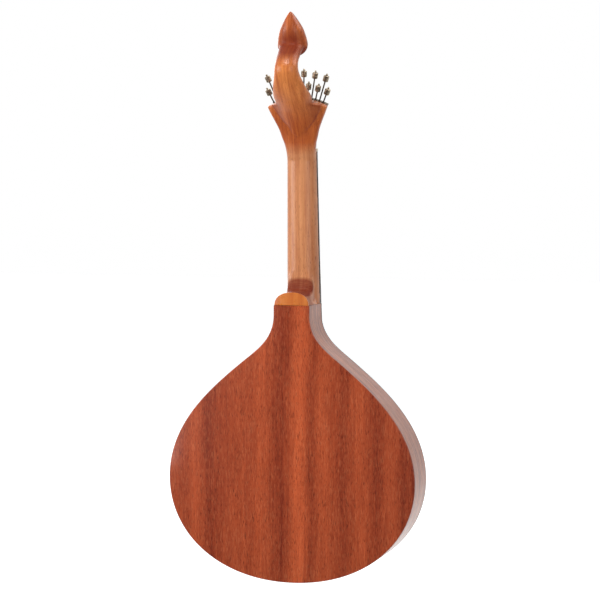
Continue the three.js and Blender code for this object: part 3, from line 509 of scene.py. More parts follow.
def neck_finish():
    """The neck's wood: redder on the head, where painted shade deepens it too; lighter on the stem's bend as
    painted light; dark where the heel's scoop cuts the end grain; and dark with painted shade in the hollows,
    along the leaf's sides, under the teardrop and by the heel's foot.
    """
    material, spot = finish("neck_wood")
    side, behind, height = split(spot)
    aside = abs(side)
    normal = node(material.node_tree, "TexCoord", {}, "Normal")
    sideways, _, upward = split(normal)
    layers = stretch(spot, 1.0, 0.1, 1.0)
    ribbons = use(RIBBONS, vector=layers, scale=110.0)
    lines = use(RIBBONS, vector=layers, scale=420.0)
    fibres = use(FIBRES, vector=layers, scale=760.0)
    flecks = use(PORES, vector=stretch(spot, 1.0, 0.3, 1.0), amount=0.45)
    share = ribbons * 0.4 + fibres * 0.3 + lines * 0.3
    shaft, head, crest = [mixed(share, colour(*dark), colour(*light)) for dark, light in NECK_TONES]
    # Painted light on the stem's bend, from the crest tones; the head's tone above the shaft is partly
    # painted shade.
    bend = remap(height, *CREST_START) * remap(height, *CREST_END, 1.0, 0.0)
    shade = mixed(bend, mixed(remap(height, *HEAD_TONE_START), shaft, head), crest)
    # Dark where the heel's surface cuts the end grain: partly the grain's own tone, partly painted shade in
    # the scoop.
    cut = use(END_GRAIN_SHADE, normal=normal, start=0.25, full=0.6)
    cut = cut * remap(height, *CUT_START) * remap(aside, *CUT_SIDE_END, 1.0, 0.0)
    # Painted shade in the heel's scoop, in bands up from the cap and broken by streaks.
    slim = stretch(spot, 0.36, 1.0, 1.0)
    scoop = use(HOLLOW, vector=slim, **HEEL_SCOOP)
    gouged = remap(speckle(stretch(spot, 0.12, 1.0, 1.0), 620.0, 3.0), 0.35, 0.65, 0.86, 1.0)
    scoop_shade_and_end_grain = most(cut, scoop) * stepped(remap(height, *SCOOP_HEIGHTS), SCOOP_BANDS) * gouged
    # Painted shade in the hollow between the teardrop and the stem's crest.
    drop_hollow_shade = use(HOLLOW, vector=spot, **DROP_HOLLOW) * 0.78
    # Painted shade along the steep sides of the head's raised leaf.
    within = remap(aside - (height * LEAF_SPREAD + LEAF_MARGIN), *LEAF_SIDE_END, 1.0, 0.0)
    on_leaf = remap(height, *LEAF_START) * remap(height, *LEAF_END, 1.0, 0.0)
    edge = remap(abs(sideways), 0.4, 0.62, 0.0, 0.6) * within * on_leaf
    # Painted shadow on the teardrop's underside.
    below = remap(upward, -0.1, -0.4) * remap(height, *UNDER_DROP_START) * 0.8
    # Painted shade on the heel's foot beside the cap.
    foot = remap(behind, *FOOT_DEPTH_START, 0.0, 0.62)
    foot = remap(height, *FOOT_START) * remap(aside, *FOOT_SIDE_START) * foot
    # All the painted shade, with the scoop's end grain, broken a little by the fibres.
    painted_shade_and_end_grain = most(scoop_shade_and_end_grain, edge, drop_hollow_shade, below, foot) * remap(fibres, 0.0, 1.0, 1.0, 0.9)
    # The colour of the painted shade.
    shade = mixed(painted_shade_and_end_grain, shade, colour(116, 30, 8))
    return paint(material, {
        "Base Color": mixed(flecks * PORE_DEPTH_SHARE, shade, colour(96, 40, 18)),
        "Roughness": use(SMUDGES, vector=spot, low=0.35, high=0.5) + painted_shade_and_end_grain * 0.3,
        "Normal": bumped(fibres * FIBRE_RELIEF_SHARE - flecks, 0.1, WOOD_RELIEF),
        "Coat Weight": remap(painted_shade_and_end_grain, 0.0, 0.9, 0.52, 0.02),
        "Coat Roughness": 0.27, "Specular IOR Level": 0.2,
    })


# The back's ribbon stripes: place across the back and how light the wood is there.
BACK_STRIPES = (
    (-0.198, 0.05), (-0.18, 0.15), (-0.16, 0.5), (-0.135, 0.15), (-0.115, 0.6), (-0.085, 0.2), (-0.05, 0.6),
    (-0.035, 0.2), (-0.015, 0.9), (0.015, 0.05), (0.05, 0.6), (0.065, 0.35), (0.085, 0.45), (0.13, 0.1),
    (0.155, 0.6), (0.168, 0.3), (0.198, 0.4),
)


def back_figure(spot):
    drift = speckle(stretch(spot, 0.4, 1.0, 1.0), 7.0, 1.0)
    across = split(spot)[0] + remap(drift, 0.3, 0.7, -STRIPE_DRIFT, STRIPE_DRIFT)
    stops = [((x + BODY_HALF_WIDTH) / (2 * BODY_HALF_WIDTH), grey(light)) for x, light in BACK_STRIPES]
    stripes = stepped(remap(across, -BODY_HALF_WIDTH, BODY_HALF_WIDTH), stops, "EASE")
    return stripes * 0.8 + use(RIBBONS, vector=spot, scale=260.0) * 0.2


def spruce_finish():
    material, spot = finish("spruce")
    lines = use(GROWTH, vector=spot)
    silk = speckle(stretch(spot, 1.0, 1.0, 3.0), 60.0, 3.0)
    pale = mixed(use(FIBRES, vector=spot, scale=1300.0), colour(226, 184, 128), colour(238, 202, 150))
    pale = mixed(remap(silk, 0.45, 0.7, 0.0, 0.35), pale, colour(246, 216, 170))
    return paint(material, {
        "Base Color": mixed(lines * 0.55, pale, colour(176, 118, 66)),
        "Roughness": use(SMUDGES, vector=spot, low=0.22, high=0.32),
        "Normal": bumped(lines, 0.15, SPRUCE_RELIEF),
    })


def metal_finish(name, clean, dull, gloss, tarnish, scratch=0.12):
    material, spot = finish(name)
    worn, scratches = use(TARNISH, vector=spot, amount=tarnish)
    return paint(material, {
        "Base Color": mixed(worn, colour(*clean), colour(*dull)), "Metallic": 1.0,
        "Roughness": remap(worn, 0.0, 1.0, gloss, gloss + 0.25),
        "Normal": bumped(scratches, scratch, SCRATCH_RELIEF),
    })


def wound_finish():
    """Copper-toned wire wound round a steel core, seen as fine bands along the string."""
    material, spot = finish("wound_string")
    bands = remap(maths("SINE", split(spot)[2] * (2 * math.pi / WINDING_PITCH)), -1.0, 1.0)
    worn, _ = use(TARNISH, vector=spot, amount=0.6)
    base = mixed(worn, colour(205, 190, 170), colour(150, 122, 92))
    return paint(material, {
        "Base Color": mixed(1.0 - bands, base, colour(92, 74, 58)), "Metallic": 1.0,
        "Roughness": remap(worn, 0.0, 1.0, 0.3, 0.5), "Normal": bumped(bands, 0.5, WINDING_RELIEF),
    })


def bone_finish():
    material, spot = finish("bone", "ACROSS")
    tone = mixed(use(FIBRES, vector=spot, scale=700.0), colour(226, 214, 186), colour(242, 234, 214))
    flecks = use(PORES, vector=spot, amount=0.25)
    return paint(material, {
        "Base Color": mixed(flecks * 0.4, tone, colour(188, 164, 124)),
        "Roughness": use(SMUDGES, vector=spot, low=0.25, high=0.4),
        "Subsurface Weight": 0.1, "Subsurface Radius": (0.002, 0.0015, 0.001),
    })


def pearl_finish():
    material, spot = finish("pearl")
    stops = [(0.3, colour(214, 226, 224)), (0.45, colour(240, 232, 226)), (0.55, colour(222, 214, 232)),
             (0.7, colour(236, 240, 226))]
    return paint(material, {
        "Base Color": stepped(speckle(spot, 420.0, 3.0, 0.6), stops, "LINEAR"),
        "Roughness": use(SMUDGES, vector=spot, low=0.15, high=0.3),
    })


MAHOGANY_BACK = lacquered_wood(
    "mahogany_back", (92, 20, 14), (206, 96, 54), pores=0.75, gloss=(0.3, 0.4), figure=back_figure,
    fibre_scale=700.0, fibre_share=0.3, shine=0.1, coat=0.4, glints=(224, 142, 98))
MAHOGANY_RIB = lacquered_wood(
    "mahogany_rib", (92, 36, 16), (206, 120, 76), "ROUND", gloss=(0.3, 0.4), bands=340.0,
    fibre_share=0.35, shine=0.1, coat=0.48)
NECK_WOOD = neck_finish()
CAP_WOOD = lacquered_wood(
    "cap_wood", (180, 84, 30), (212, 128, 56), pores=0.3, gloss=(0.25, 0.35), bands=160.0)
EBONY = lacquered_wood(
    "ebony", (34, 25, 22), (62, 46, 38), pores=0.3, gloss=(0.4, 0.55), bands=60.0, pore_colour=(14, 10, 9),
    shine=0.15)
EBONY_ACROSS = lacquered_wood(
    "ebony_across", (34, 25, 22), (62, 46, 38), "ACROSS", pores=0.3, gloss=(0.3, 0.45), bands=60.0,
    pore_colour=(14, 10, 9))
BARE_WOOD = lacquered_wood(
    "bare_wood", (190, 152, 104), (222, 190, 142), pores=0.2, gloss=(0.6, 0.75), bands=80.0,
    pore_colour=(150, 112, 70))
BARE_WOOD_ACROSS = lacquered_wood(
    "bare_wood_across", (196, 160, 112), (228, 198, 152), "ACROSS", pores=0.15, gloss=(0.6, 0.75), bands=80.0,
    pore_colour=(150, 112, 70))
SPRUCE = spruce_finish()
BONE = bone_finish()
PEARL = pearl_finish()
WOUND = wound_finish()
KNOB_METAL = metal_finish("knob_metal", (188, 172, 150), (104, 90, 76), 0.36, 0.8, 0.3)
SHAFT_METAL = metal_finish("shaft_metal", (120, 112, 104), (56, 50, 46), 0.36, 0.7)
HOOK_METAL = metal_finish("hook_metal", (206, 184, 142), (130, 104, 70), 0.3, 0.5)
# Dull brass, darkened further as painted shade so that the plate's rim reads dark.
PLATE_METAL = metal_finish("plate_metal", (112, 92, 66), (60, 46, 34), 0.34, 0.5)
FRET_METAL = metal_finish("fret_metal", (204, 202, 196), (150, 144, 134), 0.22, 0.4)
STRING_STEEL = metal_finish("string_steel", (208, 206, 202), (140, 134, 126), 0.22, 0.4)


# Mesh helpers. Points are (across, depth behind the soundboard's face, height). A part is points and faces.
def mesh_of(name, parts):
    points, faces = [], []
    for part_points, part_faces in parts:
        start = len(points)
        points.extend(tuple(point) for point in part_points)
        faces.extend([start + corner for corner in face] for face in part_faces)
    mesh = bpy.data.meshes.new(name)
    mesh.from_pydata(points, [], faces)
    return mesh


def tidy(mesh, sharp=SHARP_ANGLE):
    """Welds doubled points, turns the faces out and smooths all but the sharp edges."""
    work = bmesh.new()
    work.from_mesh(mesh)
    bmesh.ops.remove_doubles(work, verts=work.verts, dist=WELD_DISTANCE)
    bmesh.ops.recalc_face_normals(work, faces=work.faces)
    for face in work.faces:
        face.smooth = True
    for edge in work.edges:
        edge.smooth = edge.calc_face_angle(0.0) < sharp
    work.to_mesh(mesh)
    work.free()


def linked(name, data):
    thing = bpy.data.objects.new(name, data)
    bpy.context.scene.collection.objects.link(thing)
    return thing


def piece(name, parts, material, stands_for=(), placed=Matrix(), body="guitar", sharp=SHARP_ANGLE):
    """A shown piece that rides on a body, where one is named, and stands for nodes of the solids."""
    mesh = mesh_of(name, parts)
    mesh.transform(INTO_ROW_FRAME @ placed)
    tidy(mesh, sharp)
    mesh.materials.append(material)
    thing = linked(name, mesh)
    if body:
        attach(thing, body)
    if stands_for:
        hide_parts(*stands_for)
    return thing


def loose(name, parts):
    """An object that only lends its form, in the soundboard's frame."""
    mesh = mesh_of(name, parts)
    tidy(mesh)
    return linked(name, mesh)


def settle(thing):
    """Bakes an object's modifiers into its mesh."""
    ready = thing.evaluated_get(bpy.context.evaluated_depsgraph_get())
    mesh = bpy.data.meshes.new_from_object(ready)
    thing.modifiers.clear()
    bare, thing.data = thing.data, mesh
    bpy.data.meshes.remove(bare)


def carve(thing, cutter, how="DIFFERENCE"):
    modifier = thing.modifiers.new("carve", "BOOLEAN")
    modifier.operation, modifier.solver, modifier.object = how, "EXACT", cutter
    settle(thing)
    bpy.data.objects.remove(cutter)


def opened(thing):
    """The form of a loose object, ready for work. The object goes."""
    work = bmesh.new()
    work.from_mesh(thing.data)
    bpy.data.objects.remove(thing)
    return work


def part_of(work):
    """The part that a worked form has become."""
    work.verts.index_update()
    points = [corner.co.copy() for corner in work.verts]
    faces = [[corner.index for corner in face.verts] for face in work.faces]
    work.free()
    return points, faces


def moved(part, matrix):
    points, faces = part
    return [matrix @ Vector(point) for point in points], faces


def loft(rings, capped=True):
    """A closed part through rings of equal length."""
    count = len(rings[0])
    points = [corner for ring in rings for corner in ring]
    faces = []
    for row in range(0, len(points) - count, count):
        for here in range(count):
            after = row + (here + 1) % count
            faces.append((row + here, after, after + count, row + here + count))
    if capped:
        faces += [range(count), range(len(points) - 1, len(points) - count - 1, -1)]
    return points, faces


def arc(steps, sweep=math.pi):
    """Cosine and sine at even steps from zero to the sweep's end."""
    return [(math.cos(sweep * step / steps), math.sin(sweep * step / steps)) for step in range(steps + 1)]


def circle(steps):
    return arc(steps, 2 * math.pi)[:-1]


def squarish(pairs, exponent):
    """Points of a circle pushed out towards a square's, the more the higher the exponent."""
    def bend(value):
        return math.copysign(abs(value) ** (2 / exponent), value)
    return [(bend(across), bend(behind)) for across, behind in pairs]


def spread(steps):
    """Even shares from -1 to 1."""
    return [2 * step / steps - 1 for step in range(steps + 1)]


def eased_table(rows, steps):
    """Rows of numbers with smooth in-between rows, through every given row."""
    eased = []
    for ends in zip(rows[:1] + rows, rows, rows[1:], rows[2:] + rows[-1:]):
        for share in (turn / steps for turn in range(steps)):
            lead = 2 * share ** 3 - 3 * share ** 2 + 1
            leave = (share ** 3 - 2 * share ** 2 + share) / 2
            arrive = (share ** 3 - share ** 2) / 2
            eased.append([
                lead * first + (1 - lead) * last + leave * (last - before) + arrive * (after - first)
                for before, first, last, after in zip(*ends)
            ])
    return eased + [rows[-1]]


def drawn_in(outline, inset):
    """A closed flat outline moved inwards, square to the line between each corner's neighbours."""
    befores, afters = outline[-1:] + outline, outline[1:] + outline[:1]
    area = sum(before.cross(corner) for before, corner in zip(befores, outline))
    reach = inset if area > 0 else -inset
    drawn = []
    for before, corner, after in zip(befores, outline, afters):
        along = (after - before).normalized()
        drawn.append(Vector((corner.x - along.y * reach, corner.y + along.x * reach)))
    return drawn


def layered(outline, levels):
    """A closed part through copies of an outline in X and Z, each (inset, depth)."""
    return loft([[(p.x, depth, p.y) for p in drawn_in(outline, inset)] for inset, depth in levels])


def disc_outline(radius, across, height, steps):
    return [Vector((across + radius * x, height + radius * y)) for x, y in circle(steps)]


def ring_band(inner, outer, front, back):
    """A flat ring round the sound hole between two radii, from its front to its back."""
    rings = []
    for radius, depth in ((inner, back), (inner, front), (outer, front), (outer, back), (inner, back)):
        rings.append([(p.x, depth, p.y) for p in disc_outline(radius, 0.0, HOLE_HEIGHT, HOLE_STEPS)])
    return loft(rings, capped=False)


def turned(profile, around, shape=None, capped=True):
    """A turned part along Z from (radius, height) pairs. Shape may change the radius at an angle."""
    rings = []
    for radius, height in profile:
        ring = []
        for step, (x, y) in enumerate(circle(around)):
            reach = shape(radius, height, 2 * math.pi * step / around) if shape else radius
            ring.append((reach * x, reach * y, height))
        rings.append(ring)
    return loft(rings, capped)


def soft_block(low, high, round_share=0.25):
    """A box with rounded edges from its lowest to its highest corner."""
    size = Vector(high) - Vector(low)
    middle = (Vector(high) + Vector(low)) / 2
    work = bmesh.new()
    bmesh.ops.create_cube(work, size=1.0)
    for corner in work.verts:
        corner.co = corner.co * size + middle
    bmesh.ops.bevel(
        work, geom=list(work.edges), offset=round_share * min(size), segments=3, profile=0.5, affect="EDGES")
    return part_of(work)


def tube(path, radius, sides=10):
    """A wire of one radius along a path."""
    rings = []
    lift = None
    for before, corner, after in zip(path[:1] + path, path, path[1:] + path[-1:]):
        along = ((corner - before).normalized() + (after - corner).normalized()).normalized()
        if lift is None:
            lift = Vector((1.0, 0.0, 0.0)).cross(along)
            if lift.length < 0.1:
                lift = Vector((0.0, 1.0, 0.0)).cross(along)
        lift = (lift - along * lift.dot(along)).normalized()
        across = along.cross(lift)
        rings.append([corner + across * (radius * x) + lift * (radius * y) for x, y in circle(sides)])
    return loft(rings)


def eased_corners(path, reach):
    """The path with each inner corner turned into a short curve."""
    eased = path[:1]
    for before, corner, after in zip(path, path[1:], path[2:]):
        back, ahead = before - corner, after - corner
        first = corner + back.normalized() * min(reach, back.length / 3)
        last = corner + ahead.normalized() * min(reach, ahead.length / 3)
        for share in (0.0, 0.25, 0.5, 0.75, 1.0):
            eased.append(first * (1 - share) ** 2 + corner * (2 * share * (1 - share)) + last * share ** 2)
    return eased + path[-1:]


# The body.
BACK_EDGE_LEVELS = (
    (0.0003, 0.0026), (0.0, 0.0023), (0.0, 0.0012), (0.00012, 0.0007), (0.0005, 0.00025), (0.0012, 0.0),
)
HOLE_STEPS = 96
HOLE_EASE = 0.0006
HOLE_OVERCUT = 0.00002
BINDING_EASE = 0.0005


def back_face(height):
    return DEPTH_AT_NECK + BACK_SLOPE * (BODY_TOP - height)


def curve_points(start, first, second, end):
    """Points along a curve, from its start up to the last before its end."""
    found = []
    for share in (step / OUTLINE_STEPS for step in range(OUTLINE_STEPS)):
        rest = 1 - share
        point = start * rest ** 3 + first * (3 * rest ** 2 * share)
        found.append(point + second * (3 * rest * share ** 2) + end * share ** 3)
    return found


def half_outline(inset):
    """The body's half outline at +X from the shoulder down to the tail, drawn in by an inset."""
    points = [Vector((SHOULDER_HALF_WIDTH, BODY_TOP))]
    start = Vector((SHOULDER_HALF_WIDTH, BODY_TOP - BODY_LENGTH * SHOULDER_END_SHARE))
    for shares in OUTLINE_CURVE_SHARES:
        first, second, end = [
            Vector((BODY_HALF_WIDTH * across, BODY_TOP - BODY_LENGTH * down)) for across, down in shares]
        points += curve_points(start, first, second, end)
        start = end
    drawn = []
    for before, corner, after in zip(points[:1] + points, points, points[1:] + [start]):
        along = (after - before).normalized()
        drawn.append(Vector((corner.x + along.y * inset, corner.y - along.x * inset)))
    return drawn + [Vector((0.0, start.y + inset))]


def closed_outline(inset):
    half = half_outline(inset)
    return half + [Vector((-corner.x, corner.y)) for corner in reversed(half[:-1])]


def below_back(outlines):
    """A part through outlines that each lie a depth below the back's face."""
    return loft([[(p.x, back_face(p.y) - below, p.y) for p in outline] for outline, below in outlines])


def back_board():
    part = below_back([(closed_outline(inset), below) for inset, below in BACK_EDGE_LEVELS])
    piece("back_board", [part], MAHOGANY_BACK, ["back_plate"])


def rib(name, sign, node_name):
    rings = []
    for outside, inside in zip(half_outline(0.0), half_outline(RIB_THICKNESS)):
        ring = []
        for corner, from_back in ((outside, False), (outside, True), (inside, True), (inside, False)):
            depth = back_face(corner.y) - BACK_THICKNESS - GLUE_GAP if from_back else UNDER_FRONT
            ring.append((sign * max(corner.x, GLUE_GAP / 3), depth, corner.y))
        rings.append(ring)
    piece(name, [loft(rings)], MAHOGANY_RIB, [node_name])


def front_board():
    outline = closed_outline(BINDING_WIDTH + GLUE_GAP)
    board = loose("front_form", [layered(outline, ((0.0, 0.0), (0.0, FRONT_THICKNESS)))])
    cutter = layered(disc_outline(HOLE_RADIUS, 0.0, HOLE_HEIGHT, HOLE_STEPS), (
        (-HOLE_EASE, -FRONT_THICKNESS), (-HOLE_EASE, -HOLE_OVERCUT), (0.0, HOLE_EASE),
        (0.0, FRONT_THICKNESS - HOLE_EASE), (-HOLE_EASE, FRONT_THICKNESS + HOLE_OVERCUT),
        (-HOLE_EASE, 2 * FRONT_THICKNESS)))
    carve(board, loose("hole_form", [cutter]))
    piece("front_board", [part_of(opened(board))], SPRUCE, ["soundboard"])


def edge_strip(name, outer, inner, front, material, stands_for=()):
    """A strip let into the front's edge between two insets, open at the neck."""
    side = front + BINDING_EASE if outer == 0.0 else front
    rings = []
    for outside, inside in zip(closed_outline(outer), closed_outline(inner)):
        corners = ((outside, FRONT_THICKNESS), (outside, side), (outside.lerp(inside, 0.3), front),
                   (inside, front), (inside, FRONT_THICKNESS))
        rings.append([(p.x, depth, p.y) for p, depth in corners])
    piece(name, [loft(rings)], material, stands_for)


ROSETTE_BANDS = (
    ("rosette_inner_line", 0.0416, 0.0426, 0.00004, EBONY),
    ("rosette_inner_ring", 0.0426, 0.0432, 0.00006, PEARL),
    ("rosette_field", 0.0432, 0.0494, 0.00004, EBONY),
    ("rosette_outer_ring", 0.0494, 0.05, 0.00006, PEARL),
    ("rosette_outer_line", 0.05, 0.051, 0.00004, EBONY),
)
ROSETTE_DEPTH = FRONT_THICKNESS / 4
ROSETTE_MIDDLE = 0.0463
LOZENGES = 44
LOZENGE_RISE = 0.00008
LOZENGE_CORNERS = ((0.0028, 0.0), (0.0, 0.0017), (-0.0028, 0.0), (0.0, -0.0017))


def rosette():
    for name, inner, outer, rise, material in ROSETTE_BANDS:
        piece(name, [ring_band(inner, outer, -rise, ROSETTE_DEPTH)], material)
    outline = [Vector(corner) for corner in LOZENGE_CORNERS]
    lozenge = layered(outline, ((0.0, -LOZENGE_RISE), (0.0, ROSETTE_DEPTH)))
    middle = Matrix.Translation((0.0, 0.0, HOLE_HEIGHT))
    out = Matrix.Translation((0.0, 0.0, ROSETTE_MIDDLE))
    lozenges = [
        moved(lozenge, middle @ Matrix.Rotation(2 * math.pi * step / LOZENGES, 4, "Y") @ out)
        for step in range(LOZENGES)
    ]
    piece("rosette_lozenges", lozenges, PEARL)


# The neck, heel, head, stem and teardrop, carved from one wood.
CAP_EDGE_LEVELS = ((0.0002, 0.003), (0.0, 0.0027), (0.0, 0.0008), (0.0003, 0.0002), (0.0008, 0.0))
SHAFT_SHARES = (1.03, 0.75, 0.5, 0.25, 0.0, -0.02)
HEEL_INNER_SHARE = 1.3
HEEL_STEPS = 40
CARVING_STEPS = 64
RIM_STEPS = 256


def round_back_ring(half_width, front, depth, exponent, height):
    return [
        (half_width * across, front + depth * max(behind, 0.0), height)
        for across, behind in squarish(arc(CARVING_STEPS), exponent)
    ]


def board_half_width(along):
    return NUT_HALF_WIDTH - (JOIN_HALF_WIDTH - NUT_HALF_WIDTH) * along / NUT_TO_BODY


def neck_shaft():
    rings = []
    for share in SHAFT_SHARES:
        along = -NUT_TO_BODY * share
        depth = NECK_DEPTH_AT_NUT + (NECK_DEPTH_AT_HEEL - NECK_DEPTH_AT_NUT) * share
        rings.append(round_back_ring(board_half_width(along), GLUE_GAP, depth, NECK_ROUNDNESS, along))
    return moved(loft(rings), NECK_FRAME)


def heel():
    end = back_face(BODY_TOP + HEEL_CAP_HEIGHT) - HEEL_CAP_THICKNESS - GLUE_GAP
    foot = BODY_TOP - HEEL_CAP_THICKNESS
    rings = []
    for share in [HEEL_INNER_SHARE] + [1 - (step / HEEL_STEPS) ** 2 for step in range(HEEL_STEPS + 1)]:
        depth = end - (end - HEEL_FRONT) * share
        within = min(share, 1.0)
        rise = HEEL_CAP_HEIGHT - GLUE_GAP + HEEL_RISE * within ** HEEL_SWEEP
        widening = (HEEL_HALF_WIDTH - HEEL_WAIST_HALF_WIDTH) * (1 - within) ** HEEL_SWELL
        half = HEEL_WAIST_HALF_WIDTH + widening
        foot_half = half if share > 1 else HEEL_HALF_WIDTH
        ring = []
        for across, up in squarish(arc(2 * CARVING_STEPS), NECK_ROUNDNESS + HEEL_SQUARENESS * within ** 2):
            height = rise * max(up, 0.0)
            flare = (foot_half - half) * max(1 - height / HEEL_FLARE_HEIGHT, 0.0) ** 2
            ring.append(((half + flare) * across, depth, BODY_TOP + GLUE_GAP + height))
        rings.append(ring + [(-foot_half, depth, foot), (foot_half, depth, foot)])
    return loft(rings)


def leaf():
    """The raised leaf that runs down the head's back from the stem."""
    back = HEAD_FACE_DEPTH + HEAD_THICKNESS
    rings = []
    for height, treble, bass, rise in eased_table(LEAF_SHARES, 4):
        top = HEAD_THICKNESS * rise
        edge = min(LEAF_EDGE, top / 2)
        ring = []
        for across, _ in arc(LEAF_STEPS):
            half = HEAD_HALF_WIDTH * (treble if across > 0 else bass)
            ring.append((half * across, back + edge + (top - edge) * (1 - across ** 2), HEAD_LENGTH * height))
        rings.append(ring + [(across, back - LEAF_ROOT, up) for across, _, up in (ring[-1], ring[0])])
    return loft(rings)


def head_slab():
    slab = loose("head_form", [loft([
        round_back_ring(HEAD_HALF_WIDTH * width, HEAD_FACE_DEPTH, HEAD_THICKNESS * depth, exponent,
                        HEAD_LENGTH * height)
        for height, width, depth, exponent in eased_table(HEAD_SHARES, 5)
    ])])
    carve(slab, loose("leaf_form", [leaf()]), "UNION")
    reach = HEAD_THICKNESS * 4
    rim = layered(disc_outline(RIM_RADIUS, 0.0, 0.0, RIM_STEPS), ((0, -reach), (0, reach)))
    carve(slab, loose("rim_form", [rim]), "INTERSECT")
    return moved(part_of(opened(slab)), HEAD_FRAME)


def stem():
    rings = []
    for back_reach, back_rise, front_reach, front_rise, width in eased_table(STEM_SHARES, 8):
        back = Vector((0.0, STEM_REACH * back_reach, STEM_HEIGHT * back_rise))
        front = Vector((0.0, STEM_REACH * front_reach, STEM_HEIGHT * front_rise))
        ring = []
        for across, behind in squarish(circle(CARVING_STEPS), STEM_ROUNDNESS):
            point = front.lerp(back, (1 + behind) / 2)
            point.x = STEM_HALF_WIDTH * width * across
            ring.append(point)
        rings.append(ring)
    return loft(rings)


def teardrop():
    up = Vector((0.0, math.sin(DROP_LEAN), math.cos(DROP_LEAN)))
    behind = Vector((0.0, math.cos(DROP_LEAN), -math.sin(DROP_LEAN)))
    foot = Vector((0.0, DROP_TIP_SETBACK, DROP_TIP_HEIGHT)) - up * DROP_HEIGHT
    rings = []
    for rise, width, back in eased_table(DROP_SHARES, 4):
        ring = []
        for x, y in circle(CARVING_STEPS):
            reach = DROP_HALF_DEPTH * (back if y > 0 else width)
            point = foot + up * (DROP_HEIGHT * rise) + behind * (reach * y)
            point.x = DROP_HALF_WIDTH * width * x
            ring.append(point)
        rings.append(ring)
    return loft(rings)


def carved_neck():
    form = loose("neck_form", [neck_shaft(), heel(), head_slab(), stem(), teardrop()])
    remesh = form.modifiers.new("remesh", "REMESH")
    remesh.mode, remesh.voxel_size = "VOXEL", NECK_VOXEL
    smooth = form.modifiers.new("smooth", "SMOOTH")
    smooth.factor, smooth.iterations = 0.5, 24
    settle(form)
    work = opened(form)
    for (depth, height), reach, passes in HOLLOWS:
        for turn in range(passes):
            near = reach * (1 - 0.5 * turn / passes)
            spots = [spot for spot in work.verts if math.hypot(spot.co.y - depth, spot.co.z - height) < near]
            bmesh.ops.smooth_vert(
                work, verts=spots, factor=0.5, use_axis_x=True, use_axis_y=True, use_axis_z=True)
    everything = [*work.verts, *work.edges, *work.faces]
    cut = bmesh.ops.bisect_plane(
        work, geom=everything, plane_co=(0, 0, BODY_TOP + GLUE_GAP), plane_no=(0, 0, 1), clear_inner=True)
    rim = [edge for edge in cut["geom_cut"] if isinstance(edge, bmesh.types.BMEdge)]
    bmesh.ops.holes_fill(work, edges=rim)
    piece("carved_neck", [part_of(work)], NECK_WOOD, ["neck"], sharp=NECK_SHARP_ANGLE)


def heel_cap():
    outline = [
        Vector((HEEL_HALF_WIDTH * across, BODY_TOP + GLUE_GAP + (HEEL_CAP_HEIGHT - GLUE_GAP) * max(up, 0.0)))
        for across, up in squarish(arc(CARVING_STEPS), NECK_ROUNDNESS)
    ]
    part = below_back([(drawn_in(outline, inset), below) for inset, below in CAP_EDGE_LEVELS])
    piece("heel_cap_wood", [part], CAP_WOOD, ["heel_cap"])


# The fingerboard and its fittings, in the neck's own frame.
BOARD_EDGE = 0.0006
FRET_END_DROOP = 0.0004
MARKED_FRETS = ((5, (0.0,)), (7, (0.0,)), (10, (0.0,)), (12, (-0.0095, 0.0095)), (15, (0.0,)))
MARKER_RADIUS = 0.0026
MARKER_RISE = 0.00002
MARKER_CROWN = (0.0002, 0.00006)
NOTCH_SHARES = (-1.6, -1.0, -0.6, 0.0, 0.6, 1.0, 1.6)
NOTCH_SLOPE = 0.6
NOTCH_PLAY = 0.0001
CREST_SHARE = 0.45
NUT_CREST_DROP = 0.0005
STRING_RADII = [diameter / 2 for diameter in STRING_DIAMETERS]


def board_face(across, along):
    """Depth of the fingerboard's cambered face."""
    return BOARD_CAMBER * (across / board_half_width(along)) ** 2 - BOARD_THICKNESS


def board_under(along):
    return -(GLUE_GAP + NUT_SETBACK + along * math.sin(NECK_TILT)) / math.cos(NECK_TILT)


def fret_place(number):
    return -SCALE_LENGTH * (1 - 2 ** (-number / FRETS_IN_OCTAVE))


def fingerboard():
    joint = BODY_TOP / math.cos(NECK_TILT)
    rings = []
    for along in (-GLUE_GAP, joint / 2, joint, joint - GLUE_GAP, BOARD_EDGE - BOARD_LENGTH, -BOARD_LENGTH):
        half = board_half_width(along)
        drop = BOARD_EDGE if along == -BOARD_LENGTH else 0.0
        under = board_under(along) if along <= joint else GLUE_GAP / 3
        side = board_face(half, along) + BOARD_EDGE + drop
        ring = [(-half, under, along), (-half, side, along)]
        for share in spread(24):
            across = (half - BOARD_EDGE / 2) * share
            ring.append((across, board_face(across, along) + drop, along))
        rings.append(ring + [(half, side, along), (half, under, along)])
    piece("fingerboard_wood", [loft(rings)], EBONY, ["fingerboard"], NECK_FRAME)


def frets():
    for number in range(1, FRET_COUNT + 1):
        along = fret_place(number)
        rings = []
        for share in spread(20):
            across = (board_half_width(along) - GLUE_GAP) * share
            rise = FRET_HEIGHT - (FRET_END_DROOP if abs(share) == 1 else 0.0)
            base = board_face(across, along)
            ring = [(across, base - rise * y, along + FRET_WIDTH / 2 * x) for x, y in arc(8)]
            foot = [(across, base + FRET_HEIGHT / 3, along + side * FRET_WIDTH / 2) for side in (-1, 1)]
            rings.append(ring + foot)
        piece("fret_%02d" % number, [loft(rings)], FRET_METAL, placed=NECK_FRAME)


def markers():
    for number, places in MARKED_FRETS:
        along = (fret_place(number) + fret_place(number - 1)) / 2
        for place, across in enumerate(places, 1):
            face = board_face(across, along)
            inset, rise = MARKER_CROWN
            levels = ((0.0, face + FRET_HEIGHT), (0.0, face - MARKER_RISE), (inset, face - rise))
            part = layered(disc_outline(MARKER_RADIUS, across, along, 32), levels)
            piece("marker_%02d_%d" % (number, place), [part], PEARL, placed=NECK_FRAME)


